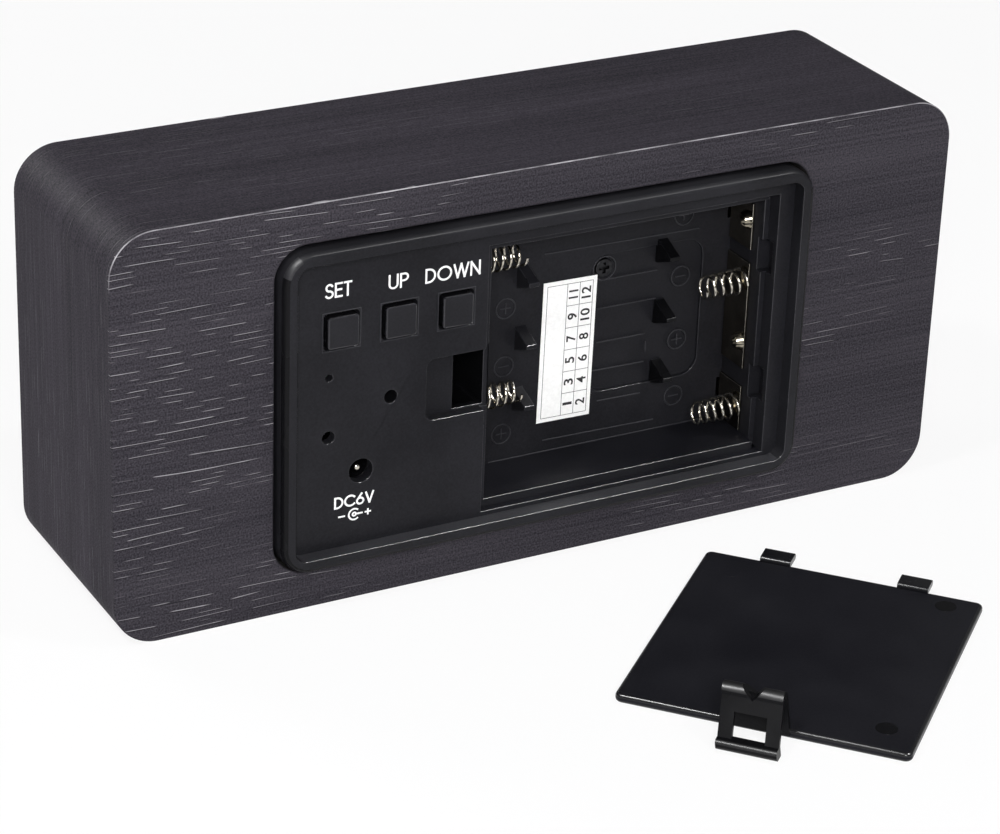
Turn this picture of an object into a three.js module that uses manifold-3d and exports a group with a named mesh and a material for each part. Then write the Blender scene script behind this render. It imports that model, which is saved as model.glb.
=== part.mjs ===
// Desk clock with a wood-grain case, seen with its battery door taken off.
// Millimetres, +Z up. The display faces -Y and the battery panel faces +Y.
// The origin is the centre of the case's base, on the table.

import * as THREE from 'three';
import { mergeVertices } from 'three/addons/utils/BufferGeometryUtils.js';
import Module from 'manifold-3d';

const wasm = await Module();
wasm.setup();

// Case
const bodyWidth = 150;
const bodyHeight = 69.2;
const bodyDepth = 39;
const bodyCorner = 7.3;
const filmThickness = 0.5;
const glueLine = 0.05;

// Cells that the tray takes, and the room round them
const cellRows = 4;
const cellLength = 44.5;
const cellDiameter = 10.5;
const cellPitch = 11;
const springRoom = 6.8;
const cellFloorGap = 0.2;
const cellDoorGap = 0.3;

// Battery door and the seat that takes it
const doorThickness = 1.5;
const doorCorner = 1.2;
const doorFit = 0.15;
const endLedge = 1.3;
const sideLedge = 1.35;
const hookLedge = 0.95;
const hookBite = 0.3;
const hookReach = 3.2;
const hookWidth = 5.15;
const hookSpacing = 23;
const hookDepth = 1.2;
const hookLift = 1.2;
const hookRoot = 1.2;
const doorRestX = -21.78;
const doorRestY = 65.79;
const doorRestTurn = 42.36;

// Sprung tongue of the door
const latchWidth = 9.5;
const latchWall = 0.85;
const latchRise = 6.95;
const latchBend = 0.6;
const latchSpread = 3.7;
const latchGrip = 1.4;
const latchGripHeight = 1.8;
const latchWindowWidth = 5.1;
const latchWindowHeight = 3.3;
const latchNotch = 2.8;
const latchSeam = 0.2;
const latchInset = 0.3;
const latchNotchDepth = 0.75;
const latchLean = 0.14;

// Rear panel
const controlWidth = 34.15;
const rightLedge = 2.8;
const topLedge = 2.8;
const bottomLedge = 0.8;
const panelCorner = 5;
const recessCorner = 2;
const rimHeight = 2.3;
const rimLand = 1.4;
const rimBevel = 0.85;
const rimRound = 1.2;
const plateDrop = 0.4;
const plateThickness = 1.8;
const trayWall = 1.5;
const skirtDepth = 6;
const cutGap = 0.6;
const skirtStep = 2.5;
const seatClearance = 0.1;

// Tray floor
const finLength = 1.9;
const finHeight = 4.2;
const finBase = 4.2;
const finTip = 0.7;
const finInset = 11.7;
const finSpan = 26.4;
const pocketDepth = 0.5;
const pocketWidth = 21.4;
const pocketHeight = 24.8;
const pocketCorner = 3.2;
const pocketInset = 5.2;
const pocketRise = 9.2;
const labelWidth = 10.05;
const labelHeight = 25.3;
const labelThickness = 0.15;
const labelTurn = -0.8;
const labelInset = 20.6;
const labelRise = 18.2;

// Hook pockets in the right wall
const hookPocketReach = 1.4;
const hookPocketDepth = 3;
const hookPocketPlay = 0.3;

// Latch recess in the control plate
const recessLength = 10.5;
const recessHeight = 10.7;
const recessDepth = 1.9;
const recessOffset = 0.3;
const recessFloor = 1.3;
const latchHoleLength = 5.4;
const latchRib = 0.8;
const latchHoleSide = 0.35;

// Buttons and their switches
const buttonNames = ['set', 'up', 'down'];
const buttonSize = 5.35;
const buttonGap = 0.4;
const buttonInset = 8.65;
const buttonMargin = 5.6;
const buttonPitch = (controlWidth - buttonInset - buttonMargin) / (buttonNames.length - 1);
const buttonDrop = 12.55;
const buttonProud = 0.8;
const buttonEdge = 0.25;
const flangeMargin = 0.9;
const flangeThickness = 0.8;
const stemDiameter = 3.4;
const stemLength = 1.1;
const buttonTravel = 0.5;
const switchSize = 6;
const switchHeight = 3.5;
const plungerDiameter = 3.5;
const plungerHeight = 1.2;
const plungerPlay = 0.2;
const plungerSink = 1.4;
const partGap = 0.1;

// Holes and posts of the control plate
const ventDiameter = 1.3;
const ventInset = 6.6;
const ventDrop = 20.35;
const soundDiameter = 2.2;
const soundInset = 6.6;
const soundDrop = 30.6;
const controlScrewDiameter = 2.3;
const controlScrewInset = 17.35;
const controlScrewDrop = 25.55;
const bossDiameter = 6;
const jackHole = 4.15;
const jackInset = 12.35;
const jackDrop = 37.5;
const jackSize = 6.6;
const jackBore = 4;
const jackBoreDepth = 5.4;
const jackPinDiameter = 1.3;
const jackPinLength = 6.2;
const boardPostDiameter = 5;
const boardPostInset = 3.6;

// Contacts and springs
const contactThickness = 0.4;
const contactWidth = 8.2;
const contactTop = 5.5;
const contactFoot = 0.3;
const nubDiameter = 3.4;
const nubHeight = 1.5;
const tailWidth = 3;
const tailLength = 3.4;
const tailClearance = 0.3;
const springWire = 0.55;
const springBase = 4.8;
const springTip = 4;
const springLength = 8.2;
const springTurns = 5;
const springShifts = [1, 0, -1.1, -1.1];
const curlSteps = 8;
const wireSides = 5;

// Screws
const trayScrewHead = 3.2;
const trayScrewHeadHeight = 1.1;
const trayScrewShank = 1.8;
const controlScrewHead = 2;
const controlScrewHeadHeight = 0.9;
const controlScrewShank = 1.2;
const screwBite = 6;
const screwPlay = 0.2;
const headRecess = 1.2;
const bossFloor = 1.6;
const controlBossLength = 8.2;
const trayScrewInset = 24.2;
const trayScrewDrop = 12.3;
const boardScrewHead = 3.4;
const boardScrewHeadHeight = 1.2;
const boardScrewShank = 1.7;
const boardScrewBite = 4;

// Boards and what is on them
const boardThickness = 1.6;
const boardEdge = 1.2;
const chipLength = 10;
const chipWidth = 4.4;
const chipHeight = 1.6;
const crystalLength = 8;
const crystalWidth = 3;
const crystalHeight = 2.6;
const buzzerDiameter = 12;
const buzzerHeight = 6;
const microphoneDiameter = 6;
const microphoneHeight = 3.4;
const thermistorDiameter = 2.4;
const thermistorHeight = 3;

// Display behind the front sheet
const maskWidth = 100;
const maskHeight = 40;
const maskDepth = 6.5;
const maskFit = 0.3;
const postDiameter = 5.5;
const digitWidth = 15;
const digitHeight = 30;
const digitPitch = 22;
const segmentWidth = 2.6;
const segmentGap = 0.5;
const colonSize = 3;
const colonSpacing = 11;
const ledSize = 1.4;
const ledHeight = 0.7;
const ribbonWidth = 10;
const ribbonThickness = 0.4;
const ribbonInset = 5.5;
const leadDiameter = 1.2;
const leadSides = 6;
const leadGap = 0.3;

// Depths, from the rear face inwards
const rearY = bodyDepth / 2;
const frontY = -bodyDepth / 2;
const coreRear = rearY - filmThickness - glueLine;
const coreFront = frontY + filmThickness + glueLine;
const rimY = rearY + rimHeight;
const plateY = rearY - plateDrop;
const plateInner = plateY - plateThickness;
const seatY = plateY - doorThickness - seatClearance;
const floorY = seatY - cellDoorGap - cellDiameter - cellFloorGap;
const floorUnder = floorY - trayWall;
const cellAxisY = floorY + cellFloorGap + cellDiameter / 2;
const skirtEnd = rearY - skirtDepth;

// Panel outline and the places inside it, on X and Z
const trayLength = cellLength + springRoom;
const trayHeight = cellRows * cellPitch;
const seatLength = trayLength + endLedge + hookLedge;
const seatHeight = trayHeight + 2 * sideLedge;
const recessWidth = controlWidth + seatLength + rightLedge;
const panelRecessHeight = seatHeight + topLedge + bottomLedge;
const rimBorder = rimLand + rimBevel;
const panelWidth = recessWidth + 2 * rimBorder;
const panelHeight = panelRecessHeight + 2 * rimBorder;
const panelZ = bodyHeight / 2;
const innerLeft = recessWidth / 2;
const innerTop = panelZ + panelRecessHeight / 2;
const innerBottom = panelZ - panelRecessHeight / 2;
const seatLeft = innerLeft - controlWidth;
const seatRight = seatLeft - seatLength;
const seatBottom = innerBottom + bottomLedge;
const seatTop = seatBottom + seatHeight;
const trayLeft = seatLeft - endLedge;
const trayRight = trayLeft - trayLength;
const trayBottom = seatBottom + sideLedge;
const trayTop = trayBottom + trayHeight;
const trayZ = (trayBottom + trayTop) / 2;
const latchZ = trayZ + recessOffset;
const doorLength = seatLength - doorFit + hookBite - hookReach;
const doorHeight = seatHeight - 2 * doorFit;

// Main board chain, from the button caps inwards
const flangeTop = plateInner - partGap;
const stemEnd = flangeTop - flangeThickness - stemLength;
const plungerTop = stemEnd - partGap;
const boardRear = plungerTop - plungerHeight - switchHeight - partGap;
const boardFront = boardRear - boardThickness;
const maskRear = coreFront + maskDepth;
const displayFront = maskRear + partGap;
const displayRear = displayFront + boardThickness;

const rowZ = (row) => trayTop - (row + 0.5) * cellPitch;
const buttonX = (k) => innerLeft - buttonInset - k * buttonPitch;
const buttonZ = innerTop - buttonDrop;
const radians = THREE.MathUtils.degToRad;

// A closed geometry as a solid that can be joined and cut
function solidOf(geometry) {
  const bare = geometry.clone();
  bare.deleteAttribute('normal');
  bare.deleteAttribute('uv');
  const merged = mergeVertices(bare, 1e-4);
  const index = merged.index.array;
  const triVerts = [];
  for (let i = 0; i < index.length; i += 3) {
    const [a, b, c] = [index[i], index[i + 1], index[i + 2]];
    if (a !== b && b !== c && c !== a) triVerts.push(a, b, c);
  }
  const vertProperties = new Float32Array(merged.attributes.position.array);
  return new wasm.Manifold(
    new wasm.Mesh({ numProp: 3, vertProperties, triVerts: new Uint32Array(triVerts) }),
  );
}

function geometryOf(solid) {
  const mesh = solid.getMesh();
  const geometry = new THREE.BufferGeometry();
  geometry.setAttribute('position', new THREE.BufferAttribute(mesh.vertProperties, 3));
  geometry.setIndex(new THREE.BufferAttribute(mesh.triVerts, 1));
  geometry.computeVertexNormals();
  return geometry;
}

const join = (first, ...others) => others.reduce((sum, other) => sum.add(other), first);
const cut = (first, ...others) => others.reduce((rest, other) => rest.subtract(other), first);

function box(x0, x1, y0, y1, z0, z1) {
  const geometry = new THREE.BoxGeometry(x1 - x0, y1 - y0, z1 - z0);
  return solidOf(geometry.translate((x0 + x1) / 2, (y0 + y1) / 2, (z0 + z1) / 2));
}

// Round bar along Y
function bar(diameter, y0, y1, x, z, sides = 16) {
  const geometry = new THREE.CylinderGeometry(diameter / 2, diameter / 2, y1 - y0, sides);
  return solidOf(geometry.translate(x, (y0 + y1) / 2, z));
}

// Rectangle with round corners, centred on x, z
function roundedRect(width, height, radius, x = 0, z = 0) {
  const shape = new THREE.Shape();
  const [w, h] = [width / 2 - radius, height / 2 - radius];
  shape.absarc(x + w, z + h, radius, 0, Math.PI / 2);
  shape.absarc(x - w, z + h, radius, Math.PI / 2, Math.PI);
  shape.absarc(x - w, z - h, radius, Math.PI, 1.5 * Math.PI);
  shape.absarc(x + w, z - h, radius, 1.5 * Math.PI, 2 * Math.PI);
  shape.closePath();
  return shape;
}

// Outline on X, Z made solid from y0 to y1
function slab(shape, y0, y1, arcSteps = 5) {
  const geometry = new THREE.ExtrudeGeometry(shape, {
    depth: y1 - y0,
    bevelEnabled: false,
    curveSegments: arcSteps,
  });
  return solidOf(geometry.rotateX(Math.PI / 2).translate(0, y1, 0));
}

// The same with its end edges rounded; the outline given is the one at the ends
function softSlab(shape, y0, y1, round, reach, arcSteps = 5, roundSteps = 3) {
  const geometry = new THREE.ExtrudeGeometry(shape, {
    depth: y1 - y0 - 2 * round,
    bevelEnabled: true,
    bevelThickness: round,
    bevelSize: reach,
    bevelSegments: roundSteps,
    curveSegments: arcSteps,
  });
  return solidOf(geometry.rotateX(Math.PI / 2).translate(0, y1 - round, 0));
}

// Screw along Y, its head towards +Y at y = top
function screw(head, headHeight, shank, length, x, top, z) {
  return join(
    bar(head, top - headHeight, top, x, z, 14),
    bar(shank, top - headHeight - length, top - headHeight, x, z, 10),
  );
}

// Closed tube of a few sides along points; its ends are flat and square to the first and last step
function tube(points, diameter, sides) {
  const count = points.length;
  const position = [];
  const index = [];
  let side = new THREE.Vector3();
  points.forEach((point, i) => {
    const before = points[Math.max(i - 1, 0)];
    const after = points[Math.min(i + 1, count - 1)];
    const along = after.clone().sub(before).normalize();
    if (i === 0) {
      side = Math.abs(along.z) < 0.9 ? new THREE.Vector3(0, 0, 1) : new THREE.Vector3(0, 1, 0);
    }
    side.addScaledVector(along, -side.dot(along)).normalize();
    const other = along.clone().cross(side);
    for (let k = 0; k < sides; k += 1) {
      const turn = (2 * Math.PI * k) / sides;
      const vertex = point.clone();
      vertex.addScaledVector(side, (diameter / 2) * Math.cos(turn));
      vertex.addScaledVector(other, (diameter / 2) * Math.sin(turn));
      position.push(vertex.x, vertex.y, vertex.z);
    }
  });
  for (let i = 0; i + 1 < count; i += 1) {
    for (let k = 0; k < sides; k += 1) {
      const a = i * sides + k;
      const b = i * sides + ((k + 1) % sides);
      index.push(a, b, b + sides, a, b + sides, a + sides);
    }
  }
  for (let k = 1; k + 1 < sides; k += 1) {
    const last = (count - 1) * sides;
    index.push(0, k + 1, k, last, last + k, last + k + 1);
  }
  const geometry = new THREE.BufferGeometry();
  geometry.setAttribute('position', new THREE.Float32BufferAttribute(position, 3));
  geometry.setIndex(index);
  geometry.computeVertexNormals();
  return geometry;
}

const clock = new THREE.Group();
const finishes = {
  film: { color: 0x3d3b3e, roughness: 0.55, metalness: 0 },
  fibreboard: { color: 0x8a6a45, roughness: 0.9, metalness: 0 },
  abs: { color: 0x27272a, roughness: 0.45, metalness: 0 },
  nickel: { color: 0xc9c4b8, roughness: 0.25, metalness: 1 },
  steel: { color: 0x77777a, roughness: 0.4, metalness: 1 },
  paper: { color: 0xf2f1ee, roughness: 0.85, metalness: 0 },
  board: { color: 0x2f5a37, roughness: 0.6, metalness: 0 },
  epoxy: { color: 0x1b1b1d, roughness: 0.5, metalness: 0 },
  maskPlastic: { color: 0xdedcd6, roughness: 0.6, metalness: 0 },
  redLead: { color: 0xa02a22, roughness: 0.5, metalness: 0 },
  blackLead: { color: 0x202022, roughness: 0.5, metalness: 0 },
  ribbonGrey: { color: 0x8d9096, roughness: 0.6, metalness: 0 },
};

function addPart(name, geometry, finish, parent = clock) {
  const mesh = new THREE.Mesh(geometry, new THREE.MeshStandardMaterial(finishes[finish]));
  mesh.name = name;
  parent.add(mesh);
  return mesh;
}

// Case: hollow core, film round its edge, a sheet on each face
function addCase() {
  const cutWidth = panelWidth + 2 * cutGap;
  const cutHeight = panelHeight + 2 * cutGap;
  const cutCorner = panelCorner + cutGap;
  const inset = 2 * (filmThickness + glueLine);
  const outline = roundedRect(bodyWidth, bodyHeight, bodyCorner, 0, panelZ);
  const wrapInner = roundedRect(
    bodyWidth - 2 * filmThickness, bodyHeight - 2 * filmThickness, bodyCorner - filmThickness, 0, panelZ,
  );
  const coreOutline = roundedRect(
    bodyWidth - inset, bodyHeight - inset, bodyCorner - inset / 2, 0, panelZ,
  );
  const through = roundedRect(
    panelWidth - 2 * skirtStep, panelHeight - 2 * skirtStep, recessCorner, 0, panelZ,
  );
  const rearCut = roundedRect(cutWidth, cutHeight, cutCorner, 0, panelZ);
  const frontCut = roundedRect(
    maskWidth + 2 * maskFit, maskHeight + 2 * maskFit, recessCorner, 0, panelZ,
  );
  const core = cut(
    slab(coreOutline, coreFront, coreRear),
    slab(through, frontY, rearY),
    slab(rearCut, skirtEnd - seatClearance, rearY),
    slab(frontCut, frontY, displayRear + seatClearance),
  );
  addPart('mdf_core', geometryOf(core), 'fibreboard');
  const wrap = cut(slab(outline, coreFront, coreRear), slab(wrapInner, frontY, rearY));
  addPart('edge_wrap', geometryOf(wrap), 'film');
  addPart('front_veneer', geometryOf(slab(outline, frontY, frontY + filmThickness)), 'film');
  const rearSheet = cut(
    slab(outline, rearY - filmThickness, rearY),
    slab(rearCut, coreRear - filmThickness, rimY),
  );
  addPart('rear_veneer', geometryOf(rearSheet), 'film');
}

// Places on the control plate, all taken from the recess's upper left corner
const ventX = innerLeft - ventInset;
const ventZ = innerTop - ventDrop;
const soundX = innerLeft - soundInset;
const soundZ = innerTop - soundDrop;
const controlScrewX = innerLeft - controlScrewInset;
const controlScrewZ = innerTop - controlScrewDrop;
const jackX = innerLeft - jackInset;
const jackZ = innerTop - jackDrop;
const boardPosts = [
  { name: 'board_screw_upper', x: innerLeft - boardPostInset, z: innerTop - boardPostInset },
  { name: 'board_screw_lower', x: seatLeft + recessLength, z: innerBottom + boardPostInset },
];
const trayScrewX = trayRight + trayScrewInset;
const trayScrewZ = trayTop - trayScrewDrop;
const bossEnd = plateInner - controlBossLength;
const trayBossEnd = floorUnder - bossFloor;

// Contact plates: the side they stand on, the rows they join, the row with a nub, any solder tail,
// and how far the plate sits off the middle of its rows
const contacts = [
  { name: 'terminal_positive', side: 'right', rows: [0], nubRow: 0, tail: true, shift: -0.8 },
  { name: 'link_right', side: 'right', rows: [1, 2], nubRow: 2, tail: false, shift: -0.45 },
  { name: 'terminal_negative', side: 'right', rows: [3], nubRow: null, tail: true, shift: -1 },
  { name: 'link_left_upper', side: 'left', rows: [0, 1], nubRow: 1, tail: false, shift: 0.3 },
  { name: 'link_left_lower', side: 'left', rows: [2, 3], nubRow: 3, tail: false, shift: -0.3 },
];
const contactTopY = plateY - contactTop;
const contactFootY = floorY + contactFoot;
const rightContactX = trayRight + partGap;
const leftContactX = trayLeft - partGap;

// Fin between two rows: a wedge that stands on the tray floor
function fin(x, z) {
  const profile = new THREE.Shape();
  const root = -(pocketDepth + trayWall) / 2;
  profile.moveTo(-finBase / 2, root);
  profile.lineTo(finBase / 2, root);
  profile.lineTo(finBase / 2, 0);
  profile.lineTo(finTip / 2, finHeight);
  profile.lineTo(-finTip / 2, finHeight);
  profile.lineTo(-finBase / 2, 0);
  profile.closePath();
  const geometry = new THREE.ExtrudeGeometry(profile, { depth: finLength, bevelEnabled: false });
  const turned = new THREE.Matrix4().makeBasis(
    new THREE.Vector3(0, 0, 1),
    new THREE.Vector3(0, 1, 0),
    new THREE.Vector3(-1, 0, 0),
  );
  return solidOf(geometry.applyMatrix4(turned).translate(x + finLength / 2, floorY, z));
}

// Rear panel: rim, control plate and battery tray in one moulding
function addPanel() {
  const rimTopOutline = roundedRect(
    panelWidth - 2 * rimBevel, panelHeight - 2 * rimBevel, panelCorner - rimBevel, 0, panelZ,
  );
  const recess = roundedRect(recessWidth, panelRecessHeight, recessCorner, 0, panelZ);
  const rim = cut(
    softSlab(rimTopOutline, skirtEnd, rimY, rimRound, rimBevel),
    slab(recess, skirtEnd - 1, rimY + 1),
  );
  const plate = slab(
    roundedRect(recessWidth + rimLand, panelRecessHeight + rimLand, recessCorner, 0, panelZ),
    plateInner,
    plateY,
  );
  const rightWall = seatRight - hookPocketReach - trayWall;
  const tray = box(
    trayRight - trayWall, trayLeft + trayWall, floorUnder, plateY, seatBottom, trayTop + trayWall,
  );
  const hookBlock = box(rightWall, trayRight, skirtEnd, plateY, seatBottom, seatTop);
  const recessX = seatLeft + recessLength;
  const recessZ = [latchZ - recessHeight / 2, latchZ + recessHeight / 2];
  const recessY = plateY - recessDepth;
  const recessCap = box(
    trayLeft,
    recessX + trayWall,
    recessY - recessFloor,
    plateY,
    recessZ[0] - trayWall,
    recessZ[1] + trayWall,
  );
  const bosses = [bar(bossDiameter, bossEnd, plateY, controlScrewX, controlScrewZ)];
  bosses.push(bar(bossDiameter, trayBossEnd, floorY, trayScrewX, trayScrewZ));
  boardPosts.forEach(
    (post) => bosses.push(bar(boardPostDiameter, boardRear + partGap, plateY, post.x, post.z)),
  );

  const seat = box(seatRight, seatLeft, seatY, rimY, seatBottom, seatTop);
  const hookShelf = box(seatRight, trayRight, seatY - hookDepth, rimY, seatBottom, seatTop);
  const well = box(trayRight, trayLeft, floorY, rimY, trayBottom, trayTop);
  const latchRecess = slab(
    roundedRect(2 * recessLength, recessHeight, rimLand, seatLeft, latchZ),
    recessY,
    rimY,
  );
  const holeRight = trayLeft + latchRib;
  const latchHole = box(
    holeRight,
    holeRight + latchHoleLength,
    floorUnder,
    rimY,
    recessZ[0] + latchHoleSide,
    recessZ[1] - latchHoleSide,
  );
  const cuts = [
    seat,
    hookShelf,
    well,
    cut(latchRecess, box(seatRight, trayLeft, floorY, rimY, seatBottom, seatTop)),
    latchHole,
  ];
  for (const sign of [-1, 1]) {
    const z = trayZ + (sign * hookSpacing) / 2;
    const half = hookWidth / 2 + hookPocketPlay;
    const top = plateY - hookLift + hookPocketPlay / 3;
    cuts.push(
      box(
        seatRight - hookPocketReach, trayRight + partGap, top - hookPocketDepth, top, z - half, z + half,
      ),
    );
  }
  const holeSize = buttonSize + 2 * buttonGap;
  buttonNames.forEach((name, k) => {
    cuts.push(
      slab(
        roundedRect(holeSize, holeSize, buttonEdge + buttonGap, buttonX(k), buttonZ),
        plateInner - 1,
        rimY,
        2,
      ),
    );
  });
  cuts.push(bar(ventDiameter, plateInner - 1, rimY, ventX, ventZ, 12));
  cuts.push(bar(soundDiameter, plateInner - 1, rimY, soundX, soundZ, 14));
  cuts.push(bar(jackHole, plateInner - 1, rimY, jackX, jackZ, 24));
  cuts.push(bar(controlScrewDiameter, bossEnd + bossFloor, rimY, controlScrewX, controlScrewZ, 14));
  cuts.push(bar(controlScrewShank + screwPlay, bossEnd - 1, rimY, controlScrewX, controlScrewZ, 10));
  cuts.push(bar(trayScrewHead + screwPlay, floorY - headRecess, rimY, trayScrewX, trayScrewZ, 18));
  cuts.push(bar(trayScrewShank + screwPlay, trayBossEnd - 1, rimY, trayScrewX, trayScrewZ, 12));
  boardPosts.forEach((post) => {
    cuts.push(
      bar(
        boardScrewShank + screwPlay,
        boardRear - 1,
        boardRear + boardScrewBite + partGap,
        post.x,
        post.z,
        10,
      ),
    );
  });
  const pocketX = trayRight + pocketInset + pocketWidth / 2;
  const pocketZ = trayBottom + pocketRise + pocketHeight / 2;
  cuts.push(
    slab(
      roundedRect(pocketWidth, pocketHeight, pocketCorner, pocketX, pocketZ),
      floorY - pocketDepth,
      floorY + 1,
      4,
    ),
  );
  for (const contact of contacts.filter((entry) => entry.tail)) {
    const z = rowZ(contact.rows[0]);
    const half = tailWidth / 2 + tailClearance;
    cuts.push(
      box(
        rightContactX - tailClearance,
        rightContactX + contactThickness + tailClearance,
        floorUnder - 1,
        floorY + 1,
        z - half,
        z + half,
      ),
    );
  }
  let panel = cut(join(rim, plate, tray, hookBlock, recessCap, ...bosses), ...cuts);
  for (let row = 1; row < cellRows; row += 1) {
    const z = trayTop - row * cellPitch;
    panel = join(panel, fin(trayLeft - finInset, z), fin(trayLeft - finInset - finSpan, z));
  }
  addPart('rear_panel', geometryOf(panel), 'abs');
}

// Buttons: cap, retaining flange and stem; each presses the plunger of its switch
function addButtons() {
  buttonNames.forEach((name, k) => {
    const x = buttonX(k);
    const edge = buttonSize - 2 * buttonEdge;
    const capShape = roundedRect(edge, edge, buttonEdge, x, buttonZ);
    const cap = softSlab(
      capShape, flangeTop - flangeThickness, plateY + buttonProud, buttonEdge, buttonEdge, 2, 2,
    );
    const half = buttonSize / 2 + flangeMargin;
    const flange = box(
      x - half, x + half, flangeTop - flangeThickness, flangeTop, buttonZ - half, buttonZ + half,
    );
    const stem = bar(stemDiameter, stemEnd, flangeTop, x, buttonZ, 14);
    addPart(`${name}_button`, geometryOf(join(cap, flange, stem)), 'abs');
    const switchTop = boardRear + partGap + switchHeight;
    const bore = bar(
      plungerDiameter + 2 * plungerPlay,
      switchTop - plungerSink - buttonTravel - partGap,
      switchTop + 1,
      x,
      buttonZ,
      14,
    );
    const side = switchSize / 2;
    const housing = box(
      x - side, x + side, boardRear + partGap, switchTop, buttonZ - side, buttonZ + side,
    );
    addPart(`${name}_switch`, geometryOf(cut(housing, bore)), 'epoxy');
    addPart(
      `${name}_plunger`,
      geometryOf(bar(plungerDiameter, switchTop - plungerSink, plungerTop, x, buttonZ, 14)),
      'abs',
    );
  });
}

// Power inlet behind its hole in the control plate
function addJack() {
  const half = jackSize / 2;
  const mouth = plateInner - partGap;
  const body = box(jackX - half, jackX + half, boardRear + partGap, mouth, jackZ - half, jackZ + half);
  const root = mouth - jackBoreDepth;
  addPart('dc_jack', geometryOf(cut(body, bar(jackBore, root, mouth + 1, jackX, jackZ, 20))), 'epoxy');
  const pin = bar(jackPinDiameter, root + glueLine, root + jackPinLength, jackX, jackZ, 12);
  addPart('dc_jack_pin', geometryOf(pin), 'nickel');
}

// Contact plates: flat strips against the end walls, with a pressed nub for a cell's cap
function addContacts() {
  for (const contact of contacts) {
    const z1 = rowZ(contact.rows[0]) + contactWidth / 2 + contact.shift;
    const z0 = rowZ(contact.rows[contact.rows.length - 1]) - contactWidth / 2 + contact.shift;
    const right = contact.side === 'right';
    const x0 = right ? rightContactX : leftContactX - contactThickness;
    const x1 = x0 + contactThickness;
    let plate = box(x0, x1, contactFootY, contactTopY, z0, z1);
    if (contact.nubRow !== null) {
      const face = right ? x1 : x0;
      const profile = [
        new THREE.Vector2(0, -contactThickness / 2),
        new THREE.Vector2(nubDiameter / 2, -contactThickness / 2),
        new THREE.Vector2(nubDiameter / 2, 0),
        new THREE.Vector2(nubDiameter * 0.36, nubHeight * 0.75),
        new THREE.Vector2(nubDiameter * 0.18, nubHeight),
        new THREE.Vector2(0, nubHeight),
      ];
      const nub = new THREE.LatheGeometry(profile, 12);
      nub.rotateZ(right ? -Math.PI / 2 : Math.PI / 2).translate(face, cellAxisY, rowZ(contact.nubRow));
      plate = join(plate, solidOf(nub));
    }
    if (contact.tail) {
      const z = rowZ(contact.rows[0]);
      plate = join(
        plate,
        box(
          x0,
          x1,
          floorUnder - tailLength,
          contactFootY + contactFoot,
          z - tailWidth / 2,
          z + tailWidth / 2,
        ),
      );
    }
    addPart(contact.name, geometryOf(plate), 'nickel');
  }
}

// Conical spring on a contact plate: one wire, straight for its own diameter at both ends
function addSprings() {
  for (let row = 0; row < cellRows; row += 1) {
    const left = row % 2 === 0;
    const inward = left ? -1 : 1;
    const face = left ? leftContactX - contactThickness : rightContactX + contactThickness;
    const steps = Math.round(springTurns * curlSteps);
    const points = [];
    const point = (along, radius, turn) => new THREE.Vector3(
      face + inward * along,
      cellAxisY + radius * Math.cos(turn),
      rowZ(row) + springShifts[row] + radius * Math.sin(turn),
    );
    const baseRadius = (springBase - springWire) / 2;
    const tipRadius = (springTip - springWire) / 2;
    points.push(point(glueLine, baseRadius, 0));
    for (let i = 0; i <= steps; i += 1) {
      const share = i / steps;
      const along = glueLine + springWire + share * (springLength - 2 * springWire);
      points.push(
        point(along, baseRadius + share * (tipRadius - baseRadius), share * springTurns * 2 * Math.PI),
      );
    }
    const last = points[points.length - 1].clone();
    points.push(last.setX(face + inward * (glueLine + springLength)));
    let least = Infinity;
    for (let i = 0; i < points.length; i += 1) {
      for (let k = i + curlSteps / 2; k < points.length; k += 1) {
        least = Math.min(least, points[i].distanceTo(points[k]) - springWire);
      }
    }
    console.log(`spring_row${row + 1}: least gap to itself ${least.toFixed(2)} mm`);
    addPart(`spring_row${row + 1}`, tube(points, springWire, wireSides), 'nickel');
  }
}

// Paper sticker on the tray floor
function addLabel() {
  const label = addPart(
    'date_label',
    new THREE.BoxGeometry(labelWidth, labelThickness, labelHeight),
    'paper',
  );
  label.position.set(
    trayLeft - labelInset,
    floorY + glueLine + labelThickness / 2,
    trayBottom + labelRise,
  );
  label.rotation.y = radians(labelTurn);
}

// Screws of the panel and of the main board
function addScrews() {
  const trayTopY = floorY - headRecess + trayScrewHeadHeight + partGap;
  const trayGrip = trayTopY - trayScrewHeadHeight - trayBossEnd + screwBite;
  addPart(
    'tray_screw',
    geometryOf(
      screw(
        trayScrewHead, trayScrewHeadHeight, trayScrewShank, trayGrip, trayScrewX, trayTopY, trayScrewZ,
      ),
    ),
    'steel',
  );
  const controlTopY = bossEnd + bossFloor + controlScrewHeadHeight + partGap;
  const controlGrip = bossFloor + partGap + screwBite;
  addPart(
    'control_screw',
    geometryOf(
      screw(
        controlScrewHead,
        controlScrewHeadHeight,
        controlScrewShank,
        controlGrip,
        controlScrewX,
        controlTopY,
        controlScrewZ,
      ),
    ),
    'steel',
  );
  for (const post of boardPosts) {
    const headTop = boardFront - partGap;
    const head = bar(boardScrewHead, headTop - boardScrewHeadHeight, headTop, post.x, post.z, 14);
    const shank = bar(boardScrewShank, headTop, boardRear + boardScrewBite, post.x, post.z, 10);
    addPart(post.name, geometryOf(join(head, shank)), 'steel');
  }
}

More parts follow.
